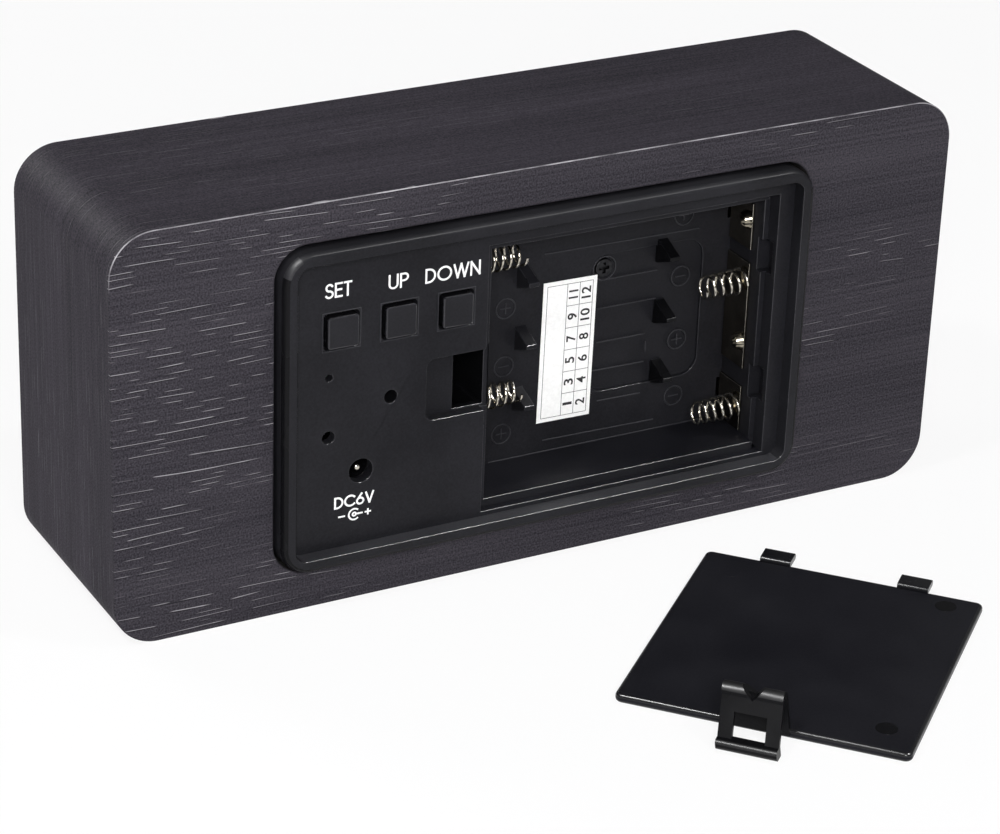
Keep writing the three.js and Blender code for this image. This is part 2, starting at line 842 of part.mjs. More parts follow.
// Main board behind the control plate, with a step that clears the latch hole
function addMainBoard() {
  const left = innerLeft - boardEdge;
  const right = trayLeft + trayWall + boardEdge;
  const stepX = seatLeft + recessLength - boardPostDiameter / 2;
  const stepZ = latchZ + recessHeight / 2 + boardEdge;
  const [top, bottom] = [innerTop - boardEdge / 2, innerBottom + boardEdge / 2];
  const outline = new THREE.Shape();
  outline.moveTo(left, bottom);
  outline.lineTo(left, top);
  outline.lineTo(right, top);
  outline.lineTo(right, stepZ);
  outline.lineTo(stepX, stepZ);
  outline.lineTo(stepX, bottom);
  outline.closePath();
  const holes = boardPosts.map(
    (post) => bar(boardScrewShank + screwPlay, boardFront - 1, boardRear + 1, post.x, post.z, 10),
  );
  holes.push(
    bar(bossDiameter + 2 * partGap, boardFront - 1, boardRear + 1, controlScrewX, controlScrewZ),
  );
  addPart('main_board', geometryOf(cut(slab(outline, boardFront, boardRear), ...holes)), 'board');

  const under = boardFront - partGap;
  const chipX = (left + stepX) / 2;
  const chipZ = jackZ;
  addPart(
    'clock_chip',
    geometryOf(
      box(
        chipX - chipLength / 2,
        chipX + chipLength / 2,
        under - chipHeight,
        under,
        chipZ - chipWidth / 2,
        chipZ + chipWidth / 2,
      ),
    ),
    'epoxy',
  );
  const crystalZ = chipZ + chipWidth / 2 + crystalWidth;
  addPart(
    'crystal',
    geometryOf(
      box(
        chipX - crystalLength / 2,
        chipX + crystalLength / 2,
        under - crystalHeight,
        under,
        crystalZ - crystalWidth / 2,
        crystalZ + crystalWidth / 2,
      ),
    ),
    'nickel',
  );
  addPart(
    'buzzer',
    geometryOf(bar(buzzerDiameter, under - buzzerHeight, under, buttonX(0), buttonZ, 24)),
    'epoxy',
  );
  const over = boardRear + partGap;
  addPart(
    'microphone',
    geometryOf(bar(microphoneDiameter, over, over + microphoneHeight, soundX, soundZ, 18)),
    'nickel',
  );
  addPart(
    'thermistor',
    geometryOf(bar(thermistorDiameter, over, over + thermistorHeight, ventX, ventZ, 12)),
    'epoxy',
  );
}

// Centre, length and direction of each lit segment of one digit
function segmentsOf(x) {
  const [w, h] = [digitWidth / 2 - segmentWidth / 2, digitHeight / 2 - segmentWidth / 2];
  const long = h - segmentWidth - 2 * segmentGap;
  const wide = digitWidth - 2 * segmentWidth - 2 * segmentGap;
  const bars = [-h, 0, h].map((z) => ({ x, z: panelZ + z, width: wide, height: segmentWidth }));
  for (const sx of [-w, w]) {
    for (const sz of [-h / 2, h / 2]) bars.push(
      { x: x + sx, z: panelZ + sz, width: segmentWidth, height: long },
    );
  }
  return bars;
}

// Display: light frame with windows and screw posts, and the LED board behind it
function addDisplay() {
  const digitX = [-1, 1].flatMap(
    (side) => [0, 1].map((k) => side * (controlScrewX + (k - 0.5) * digitPitch)),
  );
  const windows = digitX.flatMap(segmentsOf);
  for (const sign of [-1, 1]) {
    windows.push({ x: 0, z: panelZ + (sign * colonSpacing) / 2, width: colonSize, height: colonSize });
  }
  const frame = slab(
    roundedRect(maskWidth, maskHeight, recessCorner - maskFit, 0, panelZ),
    coreFront,
    maskRear,
    3,
  );
  const openings = windows.map(
    (w) => box(
      w.x - w.width / 2, w.x + w.width / 2, frontY, maskRear + 1, w.z - w.height / 2, w.z + w.height / 2,
    ),
  );
  const posts = [
    { x: trayScrewX, z: trayScrewZ, end: trayBossEnd - partGap, pilot: trayScrewShank + screwPlay },
    {
      x: controlScrewX,
      z: controlScrewZ,
      end: bossEnd - partGap,
      pilot: controlScrewShank + screwPlay,
    },
  ];
  const stems = posts.map((post) => bar(postDiameter, maskRear - 1, post.end, post.x, post.z));
  const pilots = posts.map(
    (post) => bar(post.pilot, post.end - screwBite - 1, post.end + 1, post.x, post.z, 10),
  );
  addPart(
    'digit_mask',
    geometryOf(cut(join(cut(frame, ...openings), ...stems), ...pilots)),
    'maskPlastic',
  );

  const margin = 2 * maskFit + boardEdge;
  const board = box(
    -maskWidth / 2 + margin,
    maskWidth / 2 - margin,
    displayFront,
    displayRear,
    panelZ - maskHeight / 2 + margin,
    panelZ + maskHeight / 2 - margin,
  );
  const leds = windows.map(
    (w) => box(
      w.x - ledSize / 2,
      w.x + ledSize / 2,
      displayFront - ledHeight,
      displayRear,
      w.z - ledSize / 2,
      w.z + ledSize / 2,
    ),
  );
  const holes = posts.map(
    (post) => bar(postDiameter + 2 * maskFit, displayFront - 2, displayRear + 1, post.x, post.z),
  );
  addPart('display_board', geometryOf(cut(join(board, ...leds), ...holes)), 'board');

  const bend = new THREE.Shape();
  const [y0, y1] = [displayRear + partGap, boardFront - partGap];
  const z0 = innerBottom + ribbonInset;
  bend.moveTo(y0, z0);
  bend.lineTo(y0, z0 + ribbonInset);
  bend.lineTo(y0 + ribbonThickness, z0 + ribbonInset);
  bend.lineTo(y0 + ribbonThickness, z0 + ribbonThickness);
  bend.lineTo(y1, z0 + ribbonThickness);
  bend.lineTo(y1, z0);
  bend.closePath();
  const ribbon = new THREE.ExtrudeGeometry(bend, { depth: ribbonWidth, bevelEnabled: false });
  const turned = new THREE.Matrix4().makeBasis(
    new THREE.Vector3(0, 1, 0),
    new THREE.Vector3(0, 0, 1),
    new THREE.Vector3(1, 0, 0),
  );
  addPart(
    'display_ribbon',
    geometryOf(solidOf(ribbon.applyMatrix4(turned).translate(jackX - ribbonWidth / 2, 0, 0))),
    'ribbonGrey',
  );
}

// Leads from the two solder tails, under the tray, to the main board
function addLeads() {
  const routes = [
    { name: 'lead_positive', row: 0, finish: 'redLead', z: innerTop - 2 * boardEdge },
    {
      name: 'lead_negative',
      row: 3,
      finish: 'blackLead',
      z: innerTop - 2 * boardEdge - 2 * leadDiameter,
    },
  ];
  const run = trayBossEnd - leadGap - leadDiameter / 2;
  const boardX = trayLeft + trayWall + 2 * boardEdge + leadDiameter;
  for (const route of routes) {
    const startX = rightContactX + contactThickness + leadGap;
    const tailY = floorUnder - tailLength / 2;
    const z = rowZ(route.row);
    const knots = [
      [startX, tailY, z],
      [startX + 2 * leadDiameter, tailY, z],
      [startX + 5 * leadDiameter, run, z],
      [trayScrewX - 1.5 * bossDiameter, run, (z + route.z) / 2],
      [trayScrewX + bossDiameter, run, route.z],
      [trayLeft, run, route.z],
      [boardX, run + leadDiameter, route.z],
      [boardX + leadDiameter, boardFront - 2 * leadDiameter, route.z],
      [boardX + leadDiameter, boardFront - leadGap, route.z],
    ];
    const curve = new THREE.CatmullRomCurve3(
      knots.map((k) => new THREE.Vector3(...k)),
      false,
      'chordal',
    );
    addPart(route.name, tube(curve.getPoints(26), leadDiameter, leadSides), route.finish);
  }
}

// Solid from an outline on the door's length and height, as wide as given and centred on the door
function doorSlab(points, width, centre = 0, lean = 0) {
  const shape = new THREE.Shape(points.map(([u, h]) => new THREE.Vector2(u, h)));
  const geometry = new THREE.ExtrudeGeometry(shape, { depth: width, bevelEnabled: false });
  geometry.rotateX(Math.PI / 2).translate(0, centre + width / 2, 0);
  const slant = new THREE.Matrix4().makeShear(0, 0, 0, 0, 0, -lean);
  return solidOf(geometry.applyMatrix4(slant));
}

// Arc points round a centre, for the bend of the tongue
function arc(u, h, radius, from, to, steps) {
  return Array.from({ length: steps + 1 }, (_, i) => {
    const turn = radians(from + ((to - from) * i) / steps);
    return [u + radius * Math.cos(turn), h + radius * Math.sin(turn)];
  });
}

// Battery door, inside up on the table, and its sprung tongue
function addDoor() {
  const door = new THREE.Group();
  door.position.set(doorRestX, doorRestY, 0);
  door.rotation.z = radians(doorRestTurn);
  clock.add(door);

  const half = doorLength / 2;
  const plateShape = roundedRect(doorLength, doorHeight, doorCorner);
  const plate = new THREE.ExtrudeGeometry(
    plateShape,
    { depth: doorThickness, bevelEnabled: false, curveSegments: 4 },
  );
  const hookTop = hookLift + hookDepth;
  const hook = [
    [-half + hookRoot, doorThickness / 2],
    [-half + hookRoot, doorThickness],
    [-half + hookRoot / 2, hookTop],
    [-half - hookReach + hookDepth / 3, hookTop],
    [-half - hookReach, hookTop - hookDepth / 2],
    [-half - hookReach + hookDepth / 4, hookLift],
    [-half, hookLift],
    [-half, doorThickness / 2],
  ].reverse();
  const hooks = [-1, 1].map((sign) => doorSlab(hook, hookWidth, (sign * hookSpacing) / 2));

  const outer = latchBend + latchWall;
  const legOut = half - latchInset;
  const bendU = legOut + outer;
  const bendH = latchRise;
  const seam = latchSeam / 2;
  const leg = [
    [legOut, doorThickness / 2],
    [legOut + latchWall, doorThickness / 2],
    ...arc(bendU, bendH, latchBend, 180, 90, 4).map(([u, h]) => [Math.min(u, bendU - seam), h]),
    ...arc(bendU, bendH, outer, 90, 180, 6).map(([u, h]) => [Math.min(u, bendU - seam), h]),
  ];
  const doorSolid = join(solidOf(plate), ...hooks, doorSlab(leg, latchWidth, 0, latchLean));

  const gripU = bendU + outer + latchSpread;
  const tongue = [
    ...arc(bendU, bendH, outer, 0, 90, 6).map(([u, h]) => [Math.max(u, bendU + seam), h]),
    ...arc(bendU, bendH, latchBend, 90, 0, 4).map(([u, h]) => [Math.max(u, bendU + seam), h]),
    [gripU - latchWall, latchGripHeight],
    [gripU - latchWall, latchSeam],
    [gripU + latchGrip - latchWall / 3, latchSeam],
    [gripU + latchGrip, latchGripHeight / 2],
    [gripU + latchGrip - latchWall / 3, latchGripHeight],
    [gripU, latchGripHeight],
  ].reverse();
  const windowTop = latchGripHeight + latchWindowHeight;
  const window = doorSlab([
    [bendU, latchGripHeight],
    [gripU + latchGrip, latchGripHeight],
    [gripU + latchGrip, windowTop],
    [bendU, windowTop],
  ], latchWindowWidth, 0, latchLean);
  const top = bendH + outer;
  const notch = new THREE.Shape();
  notch.moveTo(-latchNotch, top + latchNotchDepth);
  notch.lineTo(0, top - latchNotchDepth);
  notch.lineTo(latchNotch, top + latchNotchDepth);
  notch.closePath();
  const notchGeometry = new THREE.ExtrudeGeometry(notch, { depth: 4 * outer, bevelEnabled: false });
  const across = new THREE.Matrix4().makeBasis(
    new THREE.Vector3(0, 1, 0),
    new THREE.Vector3(0, 0, 1),
    new THREE.Vector3(1, 0, 0),
  );
  const notchSolid = solidOf(
    notchGeometry.applyMatrix4(across).translate(bendU - 2 * outer, -latchLean * top, 0),
  );
  addPart('battery_door', geometryOf(cut(doorSolid, notchSolid)), 'abs', door);
  addPart(
    'door_latch',
    geometryOf(cut(doorSlab(tongue, latchWidth, 0, latchLean), window, notchSolid)),
    'abs',
    door,
  );
  console.log(`tongue hinge: u ${bendU.toFixed(3)}, height ${bendH.toFixed(3)} on the door`);
}

addCase();
addPanel();
addButtons();
addJack();
addContacts();
addSprings();
addLabel();
addScrews();
addMainBoard();
addDisplay();
addLeads();
addDoor();

export default clock;
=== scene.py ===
from math import atan2, cos, pi, radians, sin

import bmesh
import bpy
from mathutils import Matrix, Vector


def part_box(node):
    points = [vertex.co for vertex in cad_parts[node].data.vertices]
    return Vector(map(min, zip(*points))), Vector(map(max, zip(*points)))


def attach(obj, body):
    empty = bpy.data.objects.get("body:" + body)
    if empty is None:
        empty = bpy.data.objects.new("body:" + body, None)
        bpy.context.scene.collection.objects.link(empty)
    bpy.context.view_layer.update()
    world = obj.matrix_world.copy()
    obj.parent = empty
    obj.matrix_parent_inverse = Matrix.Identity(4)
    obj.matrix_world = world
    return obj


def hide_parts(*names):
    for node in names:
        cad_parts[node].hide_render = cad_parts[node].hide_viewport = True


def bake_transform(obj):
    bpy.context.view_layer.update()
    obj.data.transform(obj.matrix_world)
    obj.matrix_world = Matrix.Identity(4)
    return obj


mm = 0.001
tiny = 1e-7         # metres: closer points are level with each other
weld = {"solid": 0.002, "piece": 0.003}     # mm: closer points become one

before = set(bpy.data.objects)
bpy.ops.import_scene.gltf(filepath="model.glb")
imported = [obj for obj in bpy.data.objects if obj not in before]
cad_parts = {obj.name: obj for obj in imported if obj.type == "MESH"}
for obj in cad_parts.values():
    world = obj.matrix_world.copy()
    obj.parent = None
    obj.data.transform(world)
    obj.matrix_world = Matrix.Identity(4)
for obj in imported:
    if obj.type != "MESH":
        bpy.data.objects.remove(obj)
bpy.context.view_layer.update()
print("frame loaded:", len(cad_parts), "nodes")


def toLinear(hexColour):
    shares = [int(hexColour[i:i + 2], 16) / 255 for i in (1, 3, 5)]
    return [s / 12.92 if s <= 0.04045 else ((s + 0.055) / 1.055) ** 2.4 for s in shares] + [1]


# Adds a node. A link's source is a socket, or a node for its first output
def addNode(tree, kind, settings=None, links=None):
    node = tree.nodes.new(kind)
    for key, value in (settings or {}).items():
        if key == "stops":
            elements = node.color_ramp.elements
            elements[0].position, elements[-1].position = value[0][0], value[-1][0]
            for place, colour in value[1:-1]:
                elements.new(place)
            for element, (place, colour) in zip(elements, value):
                element.color = colour
        elif isinstance(key, int) or key in node.inputs:
            node.inputs[key].default_value = value
        else:
            setattr(node, key, value)
    for key, source in (links or {}).items():
        tree.links.new(source.outputs[0] if isinstance(source, bpy.types.Node) else source, node.inputs[key])
    return node


def startMaterial(name, settings):
    material = bpy.data.materials.new(name)
    material.use_nodes = True
    tree = material.node_tree
    tree.nodes.clear()
    shader = addNode(tree, "ShaderNodeBsdfPrincipled", settings)
    addNode(tree, "ShaderNodeOutputMaterial", links={"Surface": shader})
    return material, tree, shader


black, white = (0, 0, 0, 1), (1, 1, 1, 1)

# PVC film with a printed and embossed wood grain: matt charcoal, long fine fibres, a fine speckle,
# and short pores, each a thin pale line beside a dark line of painted shade in its groove. Noise has
# its sizes in mm, along the grain and across it, and its detail. Spans and lines are places on a ramp from 0 to 1
filmLook = {
    "sheet": ("#1e1d22", "#444147"), "wrap": ("#1e1d22", "#433f47"),
    # pore is the printed pale line; shade is painted shade beside it
    "pore": "#a19fa3", "shade": "#151417", "topEdgeHighlight": "#b3b0b5",
    "noise": {"fibre": (60, 0.5, 4), "band": (120, 9, 2), "wander": (55, 5, 1), "dash": (7, 0.8, 1),
              "patch": (40, 12, 2)},
    "grit": 0.3, "gritDetail": 2, "bandShare": 0.2, "toneSpan": (0.36, 0.64),
    "shares": {"sheet": (0.26, 0.54), "wrap": (0.28, 0.52)},
    "poreSpacing": 1.0, "poreWander": 3.4, "dashSpan": (0.51, 0.57), "patchSpan": (0.47, 0.62),
    "fade": 0.1, "fadeOver": 75,
    "lines": {"shade": (0.28, 0.34, 0.40, 0.44), "pore": (0.44, 0.47, 0.53, 0.56)},
    # the height and breakup of the painted highlight on the sheet's top edge
    "topEdgeHighlightAbove": (60, 64), "highlightBreakup": 4, "highlightBreakupDetail": 5, "highlightBreakupSpan": (0.25, 0.7),
    "gritRelief": 0.35, "relief": 0.5, "reliefDepth": 0.04, "roughness": 0.6, "ior": 1.12,
}


def grainTone(tree, tones, noise, grit):
    fibreShare, gritShare = filmLook["shares"][tones]
    band = addNode(tree, "ShaderNodeMath", {"operation": "MULTIPLY", 1: filmLook["bandShare"]}, {0: noise["band"]})
    streak = addNode(tree, "ShaderNodeMath", {"operation": "MULTIPLY_ADD", 1: fibreShare}, {0: noise["fibre"], 2: band})
    speck = addNode(tree, "ShaderNodeMath", {"operation": "MULTIPLY_ADD", 1: gritShare}, {0: grit, 2: streak})
    stops = list(zip(filmLook["toneSpan"], [toLinear(c) for c in filmLook[tones]]))
    return addNode(tree, "ShaderNodeValToRGB", {"stops": stops}, {0: speck}).outputs[0]


# Evenly thin lines that wander, seen only where the dashes are, and fewer towards one end
def poreLines(tree, grain, x, noise, poreShare):
    across = addNode(tree, "ShaderNodeSeparateXYZ", links={0: grain}).outputs[1]
    perMetre = 1 / (filmLook["poreSpacing"] * mm)
    rise = addNode(tree, "ShaderNodeMath", {"operation": "MULTIPLY", 1: perMetre}, {0: across})
    phase = addNode(tree, "ShaderNodeMath", {"operation": "MULTIPLY_ADD", 1: filmLook["poreWander"]},
                    {0: noise["wander"], 2: rise})
    saw = addNode(tree, "ShaderNodeMath", {"operation": "FRACT"}, {0: phase})
    fade = filmLook["fade"] / (filmLook["fadeOver"] * mm)
    thinned = addNode(tree, "ShaderNodeMath", {"operation": "MULTIPLY_ADD", 1: fade}, {0: x, 2: noise["patch"]})
    dashes, patches = (
        addNode(tree, "ShaderNodeValToRGB", {"stops": list(zip(filmLook[span], (black, white)))}, {0: source})
        for span, source in (("dashSpan", noise["dash"]), ("patchSpan", thinned)))
    shown = addNode(tree, "ShaderNodeMath", {"operation": "MULTIPLY"}, {0: dashes, 1: patches})
    share = addNode(tree, "ShaderNodeMath", {"operation": "MULTIPLY", 1: poreShare}, {0: shown})
    lines = {}
    # each pore is a pale printed line with a dark line of painted shade beside it, where its groove is
    for part, places in filmLook["lines"].items():
        stops = list(zip(places, (black, white, white, black)))
        band = addNode(tree, "ShaderNodeValToRGB", {"stops": stops}, {0: saw})
        lines[part] = addNode(tree, "ShaderNodeMath", {"operation": "MULTIPLY"}, {0: band, 1: share})
    return lines


# The upper corner of a sheet: a painted highlight along its top edge, broken up by noise in places
def rubbedPale(tree, colour, place, z):
    low, high = filmLook["topEdgeHighlightAbove"]
    height = addNode(tree, "ShaderNodeMapRange", {"From Min": low * mm, "From Max": high * mm}, {"Value": z})
    highlightBreakup = addNode(tree, "ShaderNodeTexNoise", {"Scale": 1 / (filmLook["highlightBreakup"] * mm), "Detail": filmLook["highlightBreakupDetail"]},
                  {"Vector": place})
    stops = list(zip(filmLook["highlightBreakupSpan"], (black, white)))
    pale = addNode(tree, "ShaderNodeValToRGB", {"stops": stops}, {0: highlightBreakup})
    paintedHighlight = addNode(tree, "ShaderNodeMath", {"operation": "MULTIPLY"}, {0: pale, 1: height})
    topEdgeHighlight = {"data_type": "RGBA", 7: toLinear(filmLook["topEdgeHighlight"])}
    return addNode(tree, "ShaderNodeMix", topEdgeHighlight, {0: paintedHighlight, 6: colour}).outputs[2]


def printedFilm(name, tones, poreShare, topEdgeHighlight=False):
    material, tree, shader = startMaterial(name, {"Roughness": filmLook["roughness"], "IOR": filmLook["ior"]})
    coords = addNode(tree, "ShaderNodeTexCoord")
    place = coords.outputs["Object"]
    x, y, z = addNode(tree, "ShaderNodeSeparateXYZ", links={0: place}).outputs
    if tones == "wrap":     # along its outline, then across its depth
        grain = coords.outputs["UV"]
    else:                   # the flat sheets: along X, then up Z
        grain = addNode(tree, "ShaderNodeCombineXYZ", links={0: x, 1: z, 2: y}).outputs[0]
    noise = {}
    for part, (along, across, detail) in filmLook["noise"].items():
        scale = (1 / (along * mm), 1 / (across * mm), 1)
        spread = addNode(tree, "ShaderNodeMapping", {"Scale": scale}, {"Vector": grain})
        noise[part] = addNode(tree, "ShaderNodeTexNoise", {"Scale": 1, "Detail": detail}, {"Vector": spread})
    grit = addNode(tree, "ShaderNodeTexNoise", {"Scale": 1 / (filmLook["grit"] * mm), "Detail": filmLook["gritDetail"]},
                   {"Vector": place})
    colour = grainTone(tree, tones, noise, grit)
    lines = poreLines(tree, grain, x, noise, poreShare)
    for part, line in lines.items():
        tint = {"data_type": "RGBA", 7: toLinear(filmLook[part])}
        colour = addNode(tree, "ShaderNodeMix", tint, {0: line, 6: colour}).outputs[2]
    if topEdgeHighlight:
        colour = rubbedPale(tree, colour, place, z)
    tree.links.new(colour, shader.inputs["Base Color"])
    speckle = addNode(tree, "ShaderNodeMath", {"operation": "MULTIPLY", 1: filmLook["gritRelief"]}, {0: grit})
    relief = addNode(tree, "ShaderNodeMath", {"operation": "MULTIPLY_ADD", 1: -1}, {0: lines["shade"], 2: speckle})
    bump = addNode(tree, "ShaderNodeBump", {"Strength": filmLook["relief"], "Distance": filmLook["reliefDepth"] * mm},
                   {"Height": relief})
    tree.links.new(bump.outputs[0], shader.inputs["Normal"])
    return material


# Where a noise's useful values lie: for the two colours of a finish, and for its gloss
finishLook = {"toneSpan": (0.35, 0.65), "glossSpan": (0.3, 0.7)}


# One noise gives the colour, one the roughness and one a fine relief
def applyFinish(tree, shader, colours, tone, roughness, gloss, relief, height):
    stops = list(zip(finishLook["toneSpan"], [toLinear(c) for c in colours]))
    colour = addNode(tree, "ShaderNodeValToRGB", {"stops": stops}, {0: tone})
    low, high = finishLook["glossSpan"]
    span = {"From Min": low, "From Max": high, "To Min": roughness[0], "To Max": roughness[1]}
    sheen = addNode(tree, "ShaderNodeMapRange", span, {"Value": gloss})
    strength, depth = relief
    bump = addNode(tree, "ShaderNodeBump", {"Strength": strength, "Distance": depth * mm}, {"Height": height})
    for node, socket in ((colour, "Base Color"), (sheen, "Roughness"), (bump, "Normal")):
        tree.links.new(node.outputs[0], shader.inputs[socket])


# ABS, injection moulded: near black, with an even fine grit from the mould and a soft sheen.
# The grit is drawn at 0.35 mm, coarser than the real one, so that it shows. It breaks up
# the sheen, which a low IOR stands for, and smooth places have the real one
absLook = {"cloud": (14, 3), "grit": (0.35, 2), "share": 0.5, "duller": 0.06, "glossier": 0.05, "relief": 0.4}


def mouldedAbs(name, dark, light, roughness, gritDepth, ior):
    material, tree, shader = startMaterial(name, {"IOR": ior})
    place = addNode(tree, "ShaderNodeTexCoord").outputs["Object"]
    cloud, grit = (
        addNode(tree, "ShaderNodeTexNoise", {"Scale": 1 / (size * mm), "Detail": detail}, {"Vector": place})
        for size, detail in (absLook["cloud"], absLook["grit"]))
    fine = addNode(tree, "ShaderNodeMath", {"operation": "MULTIPLY", 1: absLook["share"]}, {0: grit})
    blend = addNode(tree, "ShaderNodeMath", {"operation": "MULTIPLY_ADD", 1: absLook["share"]}, {0: cloud, 2: fine})
    sheen = (roughness - absLook["glossier"], roughness + absLook["duller"])
    applyFinish(tree, shader, (dark, light), blend, sheen, cloud, (absLook["relief"], gritDepth), grit)
    return material


# A plain finish with a fine, uneven tone: one noise drives the colour, the roughness and the relief
plainLook = {"detail": 3, "gloss": (0.8, 1.2), "relief": 0.3}


def plainFinish(name, dark, light, grain, roughness, metallic=0, ior=1.5, relief=0.01):
    material, tree, shader = startMaterial(name, {"Metallic": metallic} if metallic else {"IOR": ior})
    place = addNode(tree, "ShaderNodeTexCoord").outputs["Object"]
    tone = addNode(tree, "ShaderNodeTexNoise", {"Scale": 1 / (grain * mm), "Detail": plainLook["detail"]},
                   {"Vector": place})
    sheen = [roughness * share for share in plainLook["gloss"]]
    applyFinish(tree, shader, (dark, light), tone, sheen, tone, (plainLook["relief"], relief), tone)
    return material


sheetFilm = printedFilm("woodFilmSheet", "sheet", 0.75)
# the sheet's film with a painted highlight on its top edge
topEdgeHighlightFilm = printedFilm("woodFilmTopEdgeHighlight", "sheet", 0.4, topEdgeHighlight=True)
wrapFilm = printedFilm("woodFilmWrap", "wrap", 0.2)
# ABS by finish: two colours, roughness, depth of the grit in mm, IOR
panelAbs = mouldedAbs("blackAbsGritted", "#17171a", "#212125", 0.46, 0.014, 1.22)
doorAbs = mouldedAbs("blackAbsSatin", "#131318", "#1d1d22", 0.4, 0.015, 1.2)
capAbs = mouldedAbs("blackAbsCaps", "#1a1a1d", "#242428", 0.42, 0.008, 1.24)
# where the mould is smooth: pin marks, rolled forms and bent ones; the smooth black is also painted shade on walls in
# slots, holes and gaps, and on faces turned from the light
smoothAndShadeAbs = mouldedAbs("blackAbsSmoothAndShade", "#0b0b0d", "#101012", 0.26, 0.002, 1.2)
rolledAbs = mouldedAbs("blackAbsRolled", "#0e0e11", "#161619", 0.28, 0.003, 1.42)
bentAbs = mouldedAbs("blackAbsBent", "#0c0c0e", "#131315", 0.36, 0.004, 1.42)
# paler and glossy: a painted highlight on rounded edges, with real gloss
edgeHighlightAbs = mouldedAbs("blackAbsEdgeHighlight", "#1f1f23", "#29292e", 0.25, 0.002, 1.5)
# glossier and a little paler, as a painted highlight: the outer corner of the rim
cornerHighlightAbs = mouldedAbs("blackAbsCornerHighlight", "#1a1a1d", "#242428", 0.45, 0.004, 1.4)
# a little paler, as a painted highlight: raised signs, and the inner wall of the rim's lower side, which faces up
paleHighlightAbs = mouldedAbs("blackAbsPaleHighlight", "#2b2b2f", "#38383c", 0.35, 0.003, 1.36)
# plain finishes: two colours, size of the uneven tone in mm, roughness
# nickel plate over spring steel: bright, faintly warm, with soft handling marks
nickelPlate = plainFinish("nickelPlatedSteel", "#8f887a", "#aea797", 2.2, 0.15, metallic=1)
springWire = plainFinish("nickelSpringWire", "#c4beb2", "#dcd8ce", 1.5, 0.16, metallic=1)
# steel with black oxide: dark, oily, half bright
oxideSteel = plainFinish("blackOxideSteel", "#2b2b2d", "#3a3a3c", 0.8, 0.38, metallic=1)
# uncoated label paper: white, quite matt, with a trace of fibre
labelPaper = plainFinish("labelPaper", "#f4f4f3", "#fbfbfa", 0.5, 0.85, ior=1.4, relief=0.02)
labelInk = plainFinish("blackLabelInk", "#141415", "#1e1e20", 0.4, 0.6)
whiteInk = plainFinish("whitePadPrint", "#ececec", "#f6f6f6", 0.5, 0.5)
# fibreboard, coloured near black as painted shade for the gap round the panel
fibreboard = plainFinish("fibreboardDarkAsShade", "#1d1a18", "#2a2522", 0.6, 0.9)
boardMask = plainFinish("greenSolderMask", "#1f4a2a", "#2b6038", 3, 0.4)
epoxyBlack = plainFinish("mouldedEpoxy", "#161617", "#202022", 0.5, 0.5)
maskPlastic = plainFinish("whiteMaskPlastic", "#cfcdc7", "#dedcd6", 2, 0.55)
ribbonPvc = plainFinish("greyRibbonPvc", "#83868c", "#95989e", 1.2, 0.5)
redPvc = plainFinish("redLeadPvc", "#8f231d", "#a82d25", 1, 0.45)
blackPvc = plainFinish("blackLeadPvc", "#18181a", "#232325", 1, 0.45)
print("materials made:", len(bpy.data.materials))


# Rounds the given edges, marks the new faces as rounds and gives them the second material
def rounded(bm, edges, width, segments=2):
    mark = bm.faces.layers.int.get("round") or bm.faces.layers.int.new("round")
    faces = bmesh.ops.bevel(bm, geom=edges, offset=width * mm, offset_type="OFFSET", segments=segments, profile=0.5,
                            affect="EDGES", clamp_overlap=True, material=-1)["faces"]
    for face in faces:
        face[mark], face.material_index = 1, 1
    return faces


# Normals that keep flat faces flat: a round takes its neighbour's normal at its rim.
# Faces that meet at more than the limit, in degrees, keep a sharp edge
def cleanNormals(bm, limit=62):
    mark = bm.faces.layers.int.get("round")
    bm.normal_update()
    bm.faces.index_update()
    areas = [face.calc_area() for face in bm.faces]
    normals = []
    for face in bm.faces:
        for loop in face.loops:
            near = [l for l in loop.vert.link_loops if l.face.normal.angle(face.normal, 0) < radians(limit)]
            broad = [l for l in near if not l.face[mark]]
            if broad:
                ahead = min(broad, key=lambda l: l.face.normal.angle(face.normal, 0)).face.normal
                near = [l for l in broad if l.face.normal.angle(ahead, 0) < radians(limit / 2)]
            total = sum((l.face.normal * l.calc_angle() * areas[l.face.index] for l in near), Vector())
            normals.append(total.normalized() if total.length else face.normal)
    return normals


def addPiece(name, shape, materials, body, stands=(), smooth=50):
    bmesh.ops.dissolve_degenerate(shape, dist=weld["piece"] * mm, edges=shape.edges[:])
    normals = cleanNormals(shape) if shape.faces.layers.int.get("round") else None
    mesh = bpy.data.meshes.new(name)
    shape.to_mesh(mesh)
    shape.free()
    for material in materials:
        mesh.materials.append(material)
    mesh.shade_smooth()
    mesh.set_sharp_from_angle(angle=radians(smooth))
    if normals:
        mesh.normals_split_custom_set(normals)
    piece = loose(name, mesh)
    if body:
        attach(piece, body)
    if stands:
        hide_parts(*stands)
    return piece


def loose(name, data):
    holder = bpy.data.objects.new(name, data)
    bpy.context.scene.collection.objects.link(holder)
    return holder


# The finished mesh of an object that is only a means to make it
def evaluated(holder):
    bpy.context.view_layer.update()
    mesh = bpy.data.meshes.new_from_object(holder.evaluated_get(bpy.context.evaluated_depsgraph_get()))
    bpy.data.objects.remove(holder)
    return mesh


def cutOut(solid, cutter):
    holders = []
    for name, shape in (("solid", solid), ("cutter", cutter)):
        mesh = bpy.data.meshes.new(name)
        shape.to_mesh(mesh)
        shape.free()
        holders.append(loose(name, mesh))
    cut = holders[0].modifiers.new("cut", "BOOLEAN")
    cut.object, cut.operation, cut.solver, cut.use_self = holders[1], "DIFFERENCE", "EXACT", True
    mesh = evaluated(holders[0])
    bpy.data.objects.remove(holders[1])
    result = bmesh.new()
    result.from_mesh(mesh)
    return result


